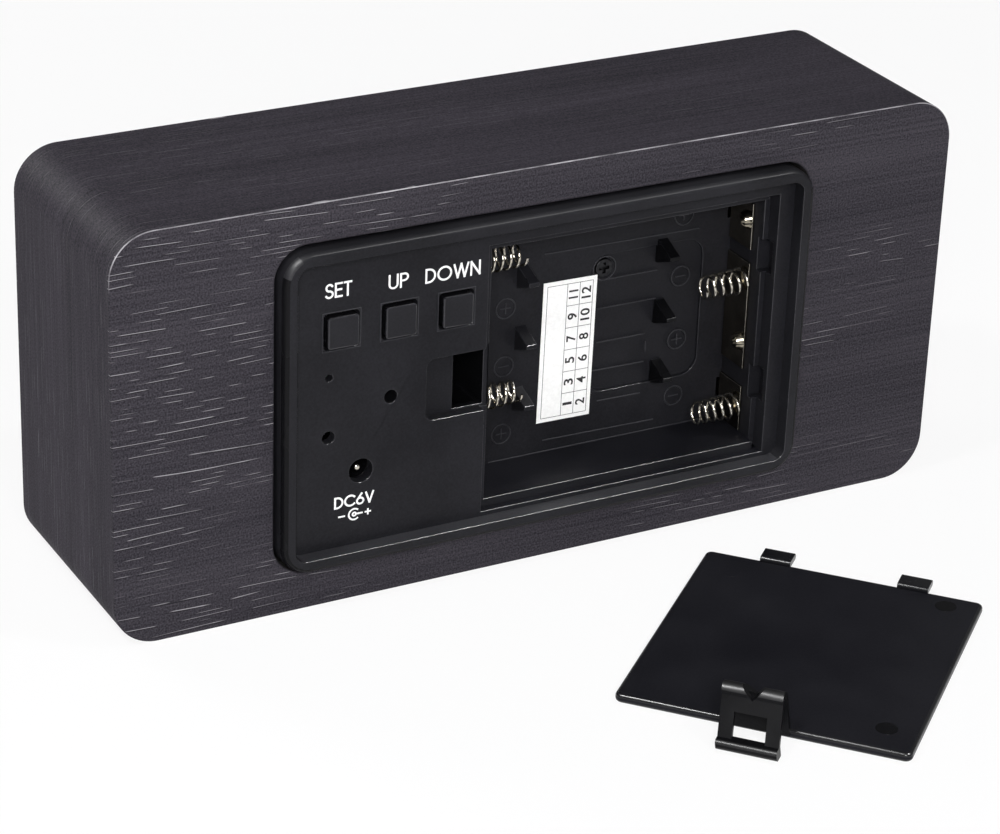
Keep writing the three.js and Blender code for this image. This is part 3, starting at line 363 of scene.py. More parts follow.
def addBox(bm, middle, sizes):
    place = Matrix.Translation(middle) @ Matrix.Diagonal((*sizes, 1))
    return bmesh.ops.create_cube(bm, size=1, matrix=place)["verts"]


# A box with its corners rounded as seen from the front
def roundedBlock(bm, lo, hi, corner, steps):
    block = addBox(bm, (lo + hi) / 2, hi - lo)
    deep = [e for e in {e for v in block for e in v.link_edges}
            if (e.verts[0].co - e.verts[1].co).xz.length < tiny]
    bmesh.ops.bevel(bm, geom=deep, offset=corner, offset_type="OFFSET", segments=steps,
                    profile=0.5, affect="EDGES", material=-1)


def edgesAtY(bm, y):
    return [e for e in bm.edges if all(abs(v.co.y - y) < tiny for v in e.verts)]


def merged(node):
    bm = bmesh.new()
    bm.from_mesh(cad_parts[node].data)
    bmesh.ops.remove_doubles(bm, verts=bm.verts, dist=weld["solid"] * mm)
    return bm


# Convex edges whose faces meet at more than the limit, in degrees
def sharpEdges(bm, limit):
    return [e for e in bm.edges if e.is_manifold and e.is_convex and e.calc_face_angle() > radians(limit)]


def softened(node, width, segments=2, limit=30):
    bm = merged(node)
    rounded(bm, sharpEdges(bm, limit), width, segments)
    return bm


# Gives another material to the faces that a test picks out
def finishFaces(bm, index, picks):
    for face in bm.faces:
        if picks(face, face.calc_center_median()):
            face.material_index = index


def movedVerts(geom):
    return [g for g in geom if isinstance(g, bmesh.types.BMVert)]


# Case: film wrapped round the block, and a sheet on each face
case = {
    "corner": 7.3, "cornerSteps": 16, "film": 0.5, "edgeRound": 0.14, "edgeSteps": 3, "sharp": 60, "flat": 0.9,
    "cutGap": 0.6, "cutDepth": 1, "cutCorner": 5.6, "cutRound": 0.35, "cutReach": 3,
}
wrapLow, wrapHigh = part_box("edge_wrap")
rearLow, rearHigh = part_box("rear_veneer")
frontLow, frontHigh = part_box("front_veneer")
panelLow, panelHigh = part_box("rear_panel")
middleZ = (rearLow.z + rearHigh.z) / 2


# How far a point lies along the wrap's outline from the middle of its top
def alongWrap(x, z):
    radius = case["corner"] * mm
    side, rise = abs(x), abs(z - middleZ)
    flat, wall = rearHigh.x - radius, (rearHigh.z - middleZ) - radius
    if side <= flat:
        run = side
    elif rise <= wall:
        run = flat + radius * pi / 2 + wall - rise
    else:
        run = flat + radius * atan2(side - flat, rise - wall)
    quarter = flat + radius * pi / 2 + wall
    return run if z >= middleZ else 2 * quarter - run


wrap = bmesh.new()
wrapLow.y, wrapHigh.y = frontHigh.y, rearLow.y
roundedBlock(wrap, wrapLow, wrapHigh, case["corner"] * mm, case["cornerSteps"])
bmesh.ops.delete(wrap, geom=[f for f in wrap.faces if abs(f.normal.y) > case["flat"]], context="FACES")
bmesh.ops.bisect_plane(wrap, geom=wrap.verts[:] + wrap.edges[:] + wrap.faces[:],
                       plane_co=(0, 0, 0), plane_no=(1, 0, 0))
bmesh.ops.solidify(wrap, geom=wrap.faces[:], thickness=case["film"] * mm)
uvLayer = wrap.loops.layers.uv.new("film")
for face in wrap.faces:
    side = 1 if face.calc_center_median().x > 0 else -1
    for loop in face.loops:
        loop[uvLayer].uv = (side * alongWrap(loop.vert.co.x, loop.vert.co.z), loop.vert.co.y)
addPiece("case_wrap", wrap, [wrapFilm], "case", ["edge_wrap"])


# Rounds a sheet's outer edge, or the edge of its cut-out
def outlineBevel(bm, y, width, inside):
    reachX = panelHigh.x + case["cutReach"] * mm
    reachZ = (panelHigh.z - panelLow.z) / 2 + case["cutReach"] * mm
    ring = [e for e in edgesAtY(bm, y) if e.is_manifold and e.calc_face_angle() > radians(case["sharp"])]
    ring = [e for e in ring
            if all(abs(v.co.x) < reachX and abs(v.co.z - middleZ) < reachZ for v in e.verts) == inside]
    return rounded(bm, ring, width, case["edgeSteps"])


sheet, hole = bmesh.new(), bmesh.new()
roundedBlock(sheet, rearLow, rearHigh, case["corner"] * mm, case["cornerSteps"])
around = Vector((case["cutGap"], case["cutDepth"], case["cutGap"])) * mm
holeLow = Vector((panelLow.x, rearLow.y, panelLow.z)) - around
holeHigh = Vector((panelHigh.x, rearHigh.y, panelHigh.z)) + around
roundedBlock(hole, holeLow, holeHigh, case["cutCorner"] * mm, case["cornerSteps"])
sheet = cutOut(sheet, hole)
# the outer edge's rounds take the second film, which paints a highlight near the top
outlineBevel(sheet, rearHigh.y, case["edgeRound"], False)
for face in outlineBevel(sheet, rearHigh.y, case["cutRound"], True):
    face.material_index = 0
addPiece("rear_sheet", sheet, [sheetFilm, topEdgeHighlightFilm], "case", ["rear_veneer"])

sheet = bmesh.new()
roundedBlock(sheet, frontLow, frontHigh, case["corner"] * mm, case["cornerSteps"])
# the outer edge's rounds take the second film, which paints a highlight near the top
outlineBevel(sheet, frontLow.y, case["edgeRound"], False)
addPiece("front_sheet", sheet, [sheetFilm, topEdgeHighlightFilm], "case", ["front_veneer"])
print("case made")

# Rear panel and buttons: the moulded solids with their edges rounded as the mould leaves them.
# Sizes and places in mm, angles in degrees, the rest are parts of a face's normal
panel = {
    "plateY": 19.1, "edge": 0.26, "sharp": 30, "rimInner": 0.5, "rimSteps": 4, "rimSharp": 60, "joined": 0.5,
    "turnedAway": -0.15, "rollFacing": 0.98, "gritAbove": 0.6, "halfShadeAbove": 0.25, "cornerHighlightLift": (0.3, 0.9),
    "slotBeyond": (10.5, 16.9), "finSpan": ((-36, -3), (7.0, 17.5), (15, 53)), "sillBelow": 14, "sillFacing": 0.9,
    "capEdge": 0.2, "capSharp": 50, "capSide": 0.1, "capFace": 0.97, "jackEdge": 0.1,
}
panelFinishes = [panelAbs, edgeHighlightAbs, smoothAndShadeAbs, paleHighlightAbs, doorAbs, cornerHighlightAbs]
gritted, edgeHighlight, paintedShade, paintedHighlight, halfShade, cornerHighlight = range(len(panelFinishes))


# The rim's outer roll: gritted above, and painted darker as it turns down: half shade round the corners, full shade at
# the sides and below; on the left the corner is glossier and a little paler, a painted highlight
def rollFinish(normal):
    lift = normal.z / max(normal.xz.length, tiny)
    low, high = panel["cornerHighlightLift"]
    if normal.x > 0 and low < lift < high:
        return cornerHighlight
    if lift > panel["gritAbove"]:
        return gritted
    return halfShade if lift > panel["halfShadeAbove"] else paintedShade


panelMiddle = (panelLow + panelHigh) / 2
moulding = merged("rear_panel")
crown = set(edgesAtY(moulding, panelHigh.y))
crown = [e for e in sharpEdges(moulding, panel["rimSharp"]) if e in crown]
# the rim's inner rounds take the paler edge finish, a painted highlight, except where they turn from the light
for face in rounded(moulding, crown, panel["rimInner"], panel["rimSteps"]):
    face.normal_update()
    if min(face.normal.x, face.normal.z) < panel["turnedAway"]:     # dark where it turns away from the light
        face.material_index = paintedShade
# the other sharp edges are rounded with the paler edge finish, a painted highlight
rounded(moulding, sharpEdges(moulding, panel["sharp"]), panel["edge"])
bmesh.ops.join_triangles(moulding, faces=moulding.faces[:], angle_face_threshold=radians(panel["joined"]),
                         angle_shape_threshold=pi)
moulding.normal_update()
for face in moulding.faces:
    outwards = (face.calc_center_median() - panelMiddle).xz
    if (face.calc_center_median().y > rearHigh.y and face.normal.y < panel["rollFacing"]
            and face.normal.xz.dot(outwards) > 0):
        face.material_index = rollFinish(face.normal)
slotX, slotY = panel["slotBeyond"]
# painted shade inside the latch slot and the holes, and on the fins
finishFaces(moulding, paintedShade, lambda face, at: at.x > slotX * mm and at.y < slotY * mm)
finishFaces(moulding, paintedShade,
            lambda face, at: all(lo * mm < c < hi * mm for c, (lo, hi) in zip(at, panel["finSpan"])))
for face in moulding.faces:     # the rim's lower wall, facing up, is painted paler as a highlight; the tray's is painted half shade
    at = face.calc_center_median()
    if face.normal.z > panel["sillFacing"] and at.z < panel["sillBelow"] * mm:
        face.material_index = paintedHighlight if at.y > panel["plateY"] * mm else halfShade
addPiece("panel_moulding", moulding, panelFinishes, "case", ["rear_panel"])
for key in ("set", "up", "down"):
    cap = softened(f"{key}_button", panel["capEdge"], limit=panel["capSharp"])
    # the cap's sides, seen in the gap round it, are painted dark as shade
    finishFaces(cap, paintedShade, lambda face, at: abs(face.normal.y) < panel["capSide"])
    # the cap's front edges take the paler edge finish, a painted highlight
    finishFaces(cap, edgeHighlight, lambda face, at: at.y > panel["plateY"] * mm
                and panel["capSide"] < face.normal.y < panel["capFace"])
    addPiece(f"{key}_cap", cap, [capAbs, edgeHighlightAbs, smoothAndShadeAbs], f"{key}_button", [f"{key}_button"])
# the inlet's bore is painted dark as shade
barrel = softened("dc_jack", panel["jackEdge"])
addPiece("jack_barrel", barrel, [smoothAndShadeAbs, smoothAndShadeAbs], "case", ["dc_jack"])
print("panel made")

# Battery springs: one wire each, wound as a cone from the wall that its row starts at
spring = {"rows": 4, "wire": 0.5, "base": 4.8, "tip": 4.0, "turns": 5, "stepsPerTurn": 28, "sides": 10, "smooth": 60}
for row in range(1, spring["rows"] + 1):
    low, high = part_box(f"spring_row{row}")
    start, end = (high.x, low.x) if row % 2 else (low.x, high.x)
    inset = spring["wire"] / 2 * mm * (1 if end > start else -1)
    run = end - start - 2 * inset
    radius = (spring["base"] - spring["wire"]) / 2 * mm
    steps = spring["turns"] * spring["stepsPerTurn"]
    coil = bmesh.new()
    ring = bmesh.ops.create_circle(coil, segments=spring["sides"], radius=spring["wire"] / 2 * mm,
                                   matrix=Matrix.Translation((0, radius, 0)))["verts"]
    bmesh.ops.spin(coil, geom=ring + coil.edges[:], cent=(0, 0, 0), axis=(1, 0, 0), dvec=(run / steps, 0, 0),
                   angle=2 * pi * spring["turns"], steps=steps, use_merge=False)
    bmesh.ops.holes_fill(coil, edges=[e for e in coil.edges if e.is_boundary], sides=0)
    for vert in coil.verts:
        share = min(max(vert.co.x / run, 0), 1)
        slim = 1 + (spring["tip"] / spring["base"] - 1) * share
        vert.co.y, vert.co.z = vert.co.y * slim, vert.co.z * slim
    bmesh.ops.recalc_face_normals(coil, faces=coil.faces)
    bmesh.ops.translate(coil, verts=coil.verts,
                        vec=Vector((start + inset, (low.y + high.y) / 2, (low.z + high.z) / 2)))
    addPiece(f"spring_wire_{row}", coil, [springWire], "case", [f"spring_row{row}"],
             smooth=spring["smooth"])
print("springs made")

# Contacts, and the inlet's pin with its round tip
contact = {"edge": 0.06, "sharp": 50, "pinTip": 0.45, "pinSteps": 5, "pinSharp": 60}
for node in ("terminal_positive", "link_right", "terminal_negative", "link_left_upper", "link_left_lower"):
    strap = softened(node, contact["edge"], limit=contact["sharp"])
    addPiece(node + "_plate", strap, [nickelPlate, springWire], "case", [node])
pin = softened("dc_jack_pin", contact["pinTip"], contact["pinSteps"], contact["pinSharp"])
addPiece("jack_pin", pin, [springWire, springWire], "case", ["dc_jack_pin"])

# Cross-head screws: the slots' length and width are shares of the head
screw = {"edge": 0.1, "sharp": 60, "slot": (0.62, 0.2), "slotDepth": 0.55}
for node in ("tray_screw", "control_screw", "board_screw_upper", "board_screw_lower"):
    low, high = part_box(node)
    headY = low.y if node.startswith("board") else high.y
    middle = Vector(((low.x + high.x) / 2, headY, (low.z + high.z) / 2))
    wide, deep = high.x - low.x, 2 * screw["slotDepth"] * mm
    cross = bmesh.new()
    for spanX, spanZ in (screw["slot"], screw["slot"][::-1]):
        addBox(cross, middle, (wide * spanX, deep, wide * spanZ))
    head = cutOut(softened(node, screw["edge"], limit=screw["sharp"]), cross)
    finishFaces(head, 0, lambda face, at: True)
    addPiece(node + "_head", head, [oxideSteel], "case", [node])
print("metal parts made")

# Strokes that cross lie a hair apart, in mm. A digit is widened by a share of its font's size,
# and its thickness is in mm
inking = {"levels": 5, "step": 0.01, "digitWiden": 0.018, "digitThick": 0.005, "arcSteps": 14, "smooth": 60}


# Lines drawn with an even width: ink on a face, or low moulded ridges
def drawn(bm, lines, width, height, place, closed=False):
    curve = bpy.data.curves.new("strokes", "CURVE")
    curve.dimensions = "3D"
    curve.bevel_depth, curve.bevel_resolution, curve.use_fill_caps = width / 2 * mm, 1, True
    for i, points in enumerate(lines):
        spline = curve.splines.new("POLY")
        spline.points.add(len(points) - 1)
        for knot, (x, y) in zip(spline.points, points):
            knot.co = (x * mm, y * mm, i % inking["levels"] * inking["step"] * mm, 1)
        spline.use_cyclic_u = closed
    mesh = evaluated(loose("strokes", curve))
    mesh.transform(place @ Matrix.Diagonal((1, 1, 2 * height / width, 1)))
    bm.from_mesh(mesh)


def written(bm, text, tall, wide, place):
    font = bpy.data.curves.new("text", "FONT")
    font.body, font.size = text, 1
    font.offset, font.extrude = inking["digitWiden"], inking["digitThick"] * mm
    mesh = evaluated(loose("text", font))
    xs, ys = [v.co.x for v in mesh.vertices], [v.co.y for v in mesh.vertices]
    spanX, spanY = max(xs) - min(xs), max(ys) - min(ys)
    scale = Matrix.Diagonal((wide * mm / spanX, tall * mm / spanY, 1, 1))
    middle = Matrix.Translation((-(max(xs) + min(xs)) / 2, -(max(ys) + min(ys)) / 2, 0))
    mesh.transform(place @ scale @ middle)
    bm.from_mesh(mesh)


def arcOf(x, y, rx, ry, start, end, steps=inking["arcSteps"]):
    turns = [radians(start + (end - start) * i / steps) for i in range(steps + 1)]
    return [(x + rx * cos(t), y + ry * sin(t)) for t in turns]


def ringOf(x, y, radius, steps):
    return arcOf(x, y, radius, radius, 0, 360, steps)


# Letters as one-line strokes on a cap height of 1, each with its width
letters = {
    "S": (0.56, [arcOf(0.29, 0.75, 0.25, 0.25, 30, 270) + arcOf(0.28, 0.25, 0.28, 0.25, 90, -150)[1:]]),
    "E": (0.48, [[(0, 0), (0, 1)], [(0, 1), (0.48, 1)], [(0, 0.53), (0.44, 0.53)], [(0, 0), (0.48, 0)]]),
    "T": (0.52, [[(0, 1), (0.52, 1)], [(0.26, 1), (0.26, 0)]]),
    "U": (0.58, [[(0, 1)] + arcOf(0.29, 0.29, 0.29, 0.29, 180, 360) + [(0.58, 1)]]),
    "P": (0.5, [[(0, 0), (0, 1)], [(0, 1)] + arcOf(0.25, 0.74, 0.25, 0.26, 90, -90) + [(0, 0.48)]]),
    "D": (0.68, [[(0, 0), (0, 1)], [(0, 1)] + arcOf(0.2, 0.5, 0.48, 0.5, 90, -90) + [(0, 0)]]),
    "O": (1.0, [ringOf(0.5, 0.5, 0.5, 28)]),
    "W": (1.08, [[(0, 1), (0.27, 0)], [(0.27, 0), (0.54, 1)], [(0.54, 1), (0.81, 0)], [(0.81, 0), (1.08, 1)]]),
    "N": (0.66, [[(0, 0), (0, 1)], [(0, 1), (0.66, 0)], [(0.66, 0), (0.66, 1)]]),
    "C": (0.86, [arcOf(0.5, 0.5, 0.5, 0.5, 45, 315, 24)]),
    "6": (0.6, [ringOf(0.3, 0.3, 0.3, 20), [(0.04, 0.44), (0.42, 1)]]),
    "V": (0.66, [[(0, 1), (0.33, 0)], [(0.33, 0), (0.66, 1)]]),
}

# White pad print on the control plate. A word has its place in X and Z, its height and its width
printing = {
    "stroke": 0.34, "letterGap": 0.24, "lift": 0.01, "height": 0.02,
    "words": [("SET", 37.25, 54.1, 2.5, 4.6), ("UP", 26.95, 53.8, 2.5, 3.5), ("DOWN", 17.5, 53.7, 2.5, 9.7),
              ("DC6V", 34.0, 17.3, 2.1, 7.0)],
    "polarity": (33.95, 14.75), "polarityStroke": 0.3,
    "minus": [(-2.8, 0), (-1.6, 0)], "plus": ([(1.85, 0), (2.95, 0)], [(2.4, -0.55), (2.4, 0.55)]),
    "cup": arcOf(0, 0, 0.95, 0.95, 45, 315, 20), "lead": [(0.2, 0), (1.5, 0)], "dot": ringOf(0, 0, 0.3, 10),
}


def lettered(bm, text, tall, wide, place):
    stroke, gap = printing["stroke"], printing["letterGap"]
    lines, pen = [], 0
    for letter in text:
        width, parts = letters[letter]
        lines += [[(pen + x, y) for x, y in part] for part in parts]
        pen += width + gap
    span = pen - gap
    drawX, drawY = wide - stroke, tall - stroke
    lines = [[Vector(((x / span - 0.5) * drawX, (y - 0.5) * drawY)) for x, y in part] for part in lines]
    for part in lines:      # ends reach half a stroke further, so that corners are full
        part[0] += (part[0] - part[1]).normalized() * stroke / 2
        part[-1] += (part[-1] - part[-2]).normalized() * stroke / 2
    drawn(bm, lines, stroke, printing["height"], place)


# A face seen from behind the clock: x to the viewer's right, y up
def onPanel(x, y, z):
    turn = Matrix(((-1, 0, 0, 0), (0, 0, 1, 0), (0, 1, 0, 0), (0, 0, 0, 1)))
    return Matrix.Translation(Vector((x, y, z)) * mm) @ turn


ink = bmesh.new()
inkY = panel["plateY"] + printing["lift"]
for text, x, z, tall, wide in printing["words"]:
    lettered(ink, text, tall, wide, onPanel(x, inkY, z))
x, z = printing["polarity"]
signs = [printing["minus"], printing["cup"], printing["lead"], *printing["plus"], printing["dot"]]
drawn(ink, signs, printing["polarityStroke"], printing["height"], onPanel(x, inkY, z))
addPiece("panel_print", ink, [whiteInk], "case", smooth=inking["smooth"])

# Ridges moulded on the panel: cell outlines and polarity signs on the tray floor, a ring round
# the tray's screw, and a thin frame round each button. Lines run from X, Z to X, Z
ridge = {
    "floorY": 6.5, "width": 0.23, "height": 0.14, "ring": 3.5, "ringSteps": 28, "bar": 1.9,
    "leftSigns": (0.95, (50.3, 39.3, 28.9, 16.6)), "rightSigns": (-32.1, (50.3, 39.3, 27.75, 17.26)),
    "lines": [(-5.9, 47.7, -35.2, 47.4), (-17, 41.2, -27.5, 41.2), (-16.4, 36.1, -27.5, 36.1),
              (-16.5, 29.95, -25.7, 29.95), (-16, 24.9, -25.8, 24.8), (-17.2, 19.1, -25.5, 19.0),
              (-7, 13.8, -28.4, 13.5), (3.1, 11.75, -37.8, 11.75), (-25.96, 26.6, -25.96, 28.5)],
    "screwRing": (-17.3, 43.3, 2.1), "screwSteps": 32,
    "frame": 6.5, "frameWidth": 0.24, "frameHeight": 0.1, "buttons": ((36.6, 47.2), (26.65, 47.2), (16.7, 47.2)),
}
marks = bmesh.new()
strokes = [[(-x0, z0), (-x1, z1)] for x0, z0, x1, z1 in ridge["lines"]]
reach = ridge["bar"] / 2
for side, firstPlus in (("leftSigns", 1), ("rightSigns", 0)):
    x, heights = ridge[side]
    for row, z in enumerate(heights):
        strokes.append(ringOf(-x, z, ridge["ring"] / 2, ridge["ringSteps"]))
        strokes.append([(-x - reach, z), (-x + reach, z)])
        if row % 2 == firstPlus:
            strokes.append([(-x, z - reach), (-x, z + reach)])
x, z, radius = ridge["screwRing"]
strokes.append(ringOf(-x, z, radius, ridge["screwSteps"]))
drawn(marks, strokes, ridge["width"], ridge["height"], onPanel(0, ridge["floorY"], 0))
# the ridges take the paler finish, a painted highlight
addPiece("tray_marks", marks, [paleHighlightAbs], "case", smooth=inking["smooth"])

frames = bmesh.new()
size = ridge["frame"] / 2
corners = [(-size, -size), (size, -size), (size, size), (-size, size)]
for x, z in ridge["buttons"]:
    drawn(frames, [corners], ridge["frameWidth"], ridge["frameHeight"], onPanel(x, panel["plateY"], z), closed=True)
# the frames take the paler finish, a painted highlight
addPiece("button_frames", frames, [paleHighlightAbs], "case", smooth=inking["smooth"])
print("print and marks made")

# Date label: paper, ruled lines and month numbers in two columns. The numbers' widths fit the print
label = {
    "wide": 10.05, "tall": 25.3, "thick": 0.15, "edge": 0.04, "turn": -0.8, "lift": 0.012, "line": 0.09,
    "lineHeight": 0.01, "margin": 0.75, "columns": (0.75, 4.5, 6.85, 9.3), "months": 12, "cells": 6,
    "digit": 1.75, "oneDigit": 1.15, "twoDigits": 2.1, "slimmer": {1: 0.5, 11: 1.5},
}
low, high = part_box("date_label")
labelTurn = Matrix.Translation((low + high) / 2) @ Matrix.Rotation(radians(label["turn"]), 4, "Y")
sizes = (label["wide"] * mm, label["thick"] * mm, label["tall"] * mm, 1)
paper = bmesh.new()
bmesh.ops.create_cube(paper, size=1, matrix=labelTurn @ Matrix.Diagonal(sizes))
rounded(paper, paper.edges[:], label["edge"])
addPiece("label_sheet", paper, [labelPaper, labelPaper], "case", ["date_label"])
# text runs up +Z with its top towards +X, so x is along the label and y across it
labelFace = labelTurn @ Matrix.Translation((0, (label["thick"] / 2 + label["lift"]) * mm, 0)) @ Matrix(
    ((0, 1, 0, 0), (0, 0, 1, 0), (1, 0, 0, 0), (0, 0, 0, 1)))
ruled = bmesh.new()
left, right = -label["tall"] / 2 + label["margin"], label["tall"] / 2 - label["margin"]
rules = [label["wide"] / 2 - c for c in label["columns"]]
cell = (right - left) / label["cells"]
lines = [[(left, y), (right, y)] for y in rules]
lines += [[(x, rules[0]), (x, rules[-1])] for x in (left, right)]
lines += [[(left + cell * i, rules[1]), (left + cell * i, rules[-1])] for i in range(1, label["cells"])]
drawn(ruled, lines, label["line"], label["lineHeight"], labelFace)
for month in range(1, label["months"] + 1):
    column = 2 - month % 2
    x, y = left + cell * ((month - 1) // 2 + 0.5), (rules[column] + rules[column + 1]) / 2
    wide = label["slimmer"].get(month, label["oneDigit" if month < 10 else "twoDigits"])
    written(ruled, str(month), label["digit"], wide, labelFace @ Matrix.Translation((x * mm, y * mm, 0)))
addPiece("label_print", ruled, [labelInk], "case")
print("label made")

# Battery door on the table, inside up: a thin plate with a round edge
door = {
    "centre": (-21.78, 65.79), "turn": 42.36, "length": 50.5, "height": 46.4, "thick": 1.5,
    "corner": 1.2, "cornerSteps": 6, "edge": 0.55, "edgeSteps": 5, "sharp": 60,
}
doorPlace = Matrix.Translation(Vector((*door["centre"], 0)) * mm) @ Matrix.Rotation(radians(door["turn"]), 4, "Z")
plate = bmesh.new()
addBox(plate, (0, 0, door["thick"] / 2 * mm), Vector((door["length"], door["height"], door["thick"])) * mm)
upright = [e for e in plate.edges if abs(e.verts[0].co.z - e.verts[1].co.z) > tiny]
bmesh.ops.bevel(plate, geom=upright, offset=door["corner"] * mm, offset_type="OFFSET", segments=door["cornerSteps"],
                profile=0.5, affect="EDGES", material=-1)
rounded(plate, sharpEdges(plate, door["sharp"]), door["edge"], door["edgeSteps"])
plate.transform(doorPlace)
addPiece("door_plate", plate, [doorAbs, rolledAbs], "door", ["battery_door"])

# Two hooks at the door's end, rolled round on top and at the tip
hook = {
    "root": 0.7, "reach": 3.2, "depth": 1.2, "lift": 1.2, "width": 5.15, "spacing": 23,
    "round": 0.6, "roll": 0.34, "rollAbove": 1.08, "rollSteps": 5, "rollSharp": 20, "edge": 0.1, "edgeSharp": 70,
}
end, hookHalf = -door["length"] / 2, hook["width"] / 2
tip, root, top = end - hook["reach"], end + hook["root"], hook["lift"] + hook["depth"]
outline = [(root, door["thick"] / 2), (root, top), (tip + hook["depth"] / 3, top), (tip, top - hook["depth"] / 2),
           (tip + hook["depth"] / 4, hook["lift"]), (end, hook["lift"]), (end, door["thick"] / 2)]
hooks = bmesh.new()
for side in (-1, 1):
    start = side * hook["spacing"] / 2 - hookHalf
    face = hooks.faces.new([hooks.verts.new(Vector((u, start, h)) * mm) for u, h in outline])
    pulled = bmesh.ops.extrude_face_region(hooks, geom=[face])["geom"]
    bmesh.ops.translate(hooks, verts=movedVerts(pulled), vec=(0, hook["width"] * mm, 0))
bmesh.ops.recalc_face_normals(hooks, faces=hooks.faces)
for width, near in ((hook["round"], True), (hook["roll"], False)):
    rolls = [e for e in sharpEdges(hooks, hook["rollSharp"])
             if abs(e.verts[0].co.y - e.verts[1].co.y) > hookHalf * mm
             and min(v.co.z for v in e.verts) > hook["rollAbove"] * mm and (e.verts[0].co.x > end * mm) == near]
    rounded(hooks, rolls, width, hook["rollSteps"])
    bmesh.ops.remove_doubles(hooks, verts=hooks.verts, dist=weld["piece"] * mm)
rounded(hooks, sharpEdges(hooks, hook["edgeSharp"]), hook["edge"])
hooks.transform(doorPlace)
addPiece("door_hooks", hooks, [rolledAbs, rolledAbs], "door")

# Round marks that the mould's pins leave. Each has its place along the door and across it, and is faint or not
pinMark = {
    "places": [(-19.3, -17.6, 1), (-21.7, 17.7, 0), (19.1, 17.9, 0), (18.7, -18.8, 1)],
    "size": 3.5, "sides": 32, "draft": 0.02, "depth": 0.04, "smooth": 20,
}
ejected = bmesh.new()
radius = pinMark["size"] / 2
for u, v, faint in pinMark["places"]:
    place = doorPlace @ Matrix.Translation(Vector((u, v, door["thick"])) * mm)
    disc = bmesh.ops.create_cone(ejected, cap_ends=True, segments=pinMark["sides"], radius1=radius * mm,
                                 radius2=(radius - pinMark["draft"]) * mm, depth=pinMark["depth"] * mm, matrix=place)
    for face in {f for vert in disc["verts"] for f in vert.link_faces}:
        face.material_index = faint
addPiece("door_pin_marks", ejected, [smoothAndShadeAbs, doorAbs], "door", smooth=pinMark["smooth"])

# The door's tongue: one strip bent over, with a notch in the bend, a window and a grip bar.
# The window and the notch have their width and their height
tongue = {
    "leg": 24.95, "wall": 0.85, "bend": 0.6, "bendSteps": 16, "rise": 6.95, "spread": 3.7, "width": 9.5, "lean": 0.14,
    "grip": 1.4, "gripTop": 1.8, "gripFoot": 0.2, "gripRound": 0.58, "gripSteps": 4, "gripLength": 6, "gripBeyond": 0.5,
    "window": (5.1, 3.3), "windowDepth": 8, "notch": (1.7, 1.7), "edge": 0.12, "sharp": 40, "weld": 0.004,
    "crestUp": 0.45, "crestSide": 0.5,
}
rise, inner, outer = tongue["rise"], tongue["bend"], tongue["bend"] + tongue["wall"]
bendU, half = tongue["leg"] + outer, tongue["width"] / 2
strip = bmesh.new()
foot = [strip.verts.new(Vector((bendU - r, -half, door["thick"] / 2)) * mm) for r in (outer, inner)]


def firstEdge(geom):
    return next(g for g in geom if isinstance(g, bmesh.types.BMEdge))


def grown(edge, step):
    geom = bmesh.ops.extrude_edge_only(strip, edges=[edge])["geom"]
    bmesh.ops.translate(strip, verts=movedVerts(geom), vec=Vector(step) * mm)
    return firstEdge(geom)


edge = grown(strip.edges.new(foot), (0, 0, rise - door["thick"] / 2))
over = bmesh.ops.spin(strip, geom=[*edge.verts, edge], cent=Vector((bendU, -half, rise)) * mm, axis=(0, 1, 0), angle=pi,
                      steps=tongue["bendSteps"], use_merge=False)["geom_last"]
edge = grown(firstEdge(over), (tongue["spread"], 0, tongue["gripTop"] - rise))
grown(edge, (0, 0, tongue["gripFoot"] - tongue["gripTop"]))
upright = [e for e in strip.edges if abs(e.verts[0].co.x - e.verts[1].co.x) < tiny]
grown(max(upright, key=lambda e: e.verts[0].co.x), (tongue["grip"], 0, 0))
bmesh.ops.recalc_face_normals(strip, faces=strip.faces)
sides = bmesh.ops.extrude_face_region(strip, geom=strip.faces[:])["geom"]
bmesh.ops.translate(strip, verts=movedVerts(sides), vec=(0, 2 * half * mm, 0))
bmesh.ops.recalc_face_normals(strip, faces=strip.faces)

wide, tall = tongue["window"]
cutter = bmesh.new()
addBox(cutter, Vector((bendU + tongue["windowDepth"] / 2, 0, tongue["gripTop"] + tall / 2)) * mm,
       Vector((tongue["windowDepth"], wide, tall)) * mm)
wide, deep = tongue["notch"]
crest = rise + outer
vee = [(-2 * wide, crest + deep), (0, crest - deep), (2 * wide, crest + deep)]
wedge = cutter.faces.new([cutter.verts.new(Vector((bendU - 2 * outer, v, h)) * mm) for v, h in vee])
pulled = bmesh.ops.extrude_face_region(cutter, geom=[wedge])["geom"]
bmesh.ops.translate(cutter, verts=movedVerts(pulled), vec=(4 * outer * mm, 0, 0))
bmesh.ops.recalc_face_normals(cutter, faces=cutter.faces)
strip = cutOut(strip, cutter)

gripFrom = (bendU + outer + tongue["spread"] + tongue["gripBeyond"]) * mm
bar = [e for e in sharpEdges(strip, tongue["sharp"])
       if abs(e.verts[0].co.y - e.verts[1].co.y) > tongue["gripLength"] * mm
       and min(v.co.x for v in e.verts) > gripFrom]
rounded(strip, bar, tongue["gripRound"], tongue["gripSteps"])
rounded(strip, sharpEdges(strip, tongue["sharp"]), tongue["edge"])
bmesh.ops.dissolve_degenerate(strip, dist=tongue["weld"] * mm, edges=strip.edges[:])
strip.normal_update()
finishFaces(strip, 1, lambda face, at: at.z > rise * mm and face.normal.z > tongue["crestUp"]
            and abs(face.normal.y) < tongue["crestSide"])
lean = Matrix.Identity(4)
lean[1][2] = -tongue["lean"]
strip.transform(doorPlace @ lean)
tonguePiece = addPiece("door_tongue", strip, [smoothAndShadeAbs, bentAbs], None, ["door_latch"])
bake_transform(tonguePiece)
print("door made")

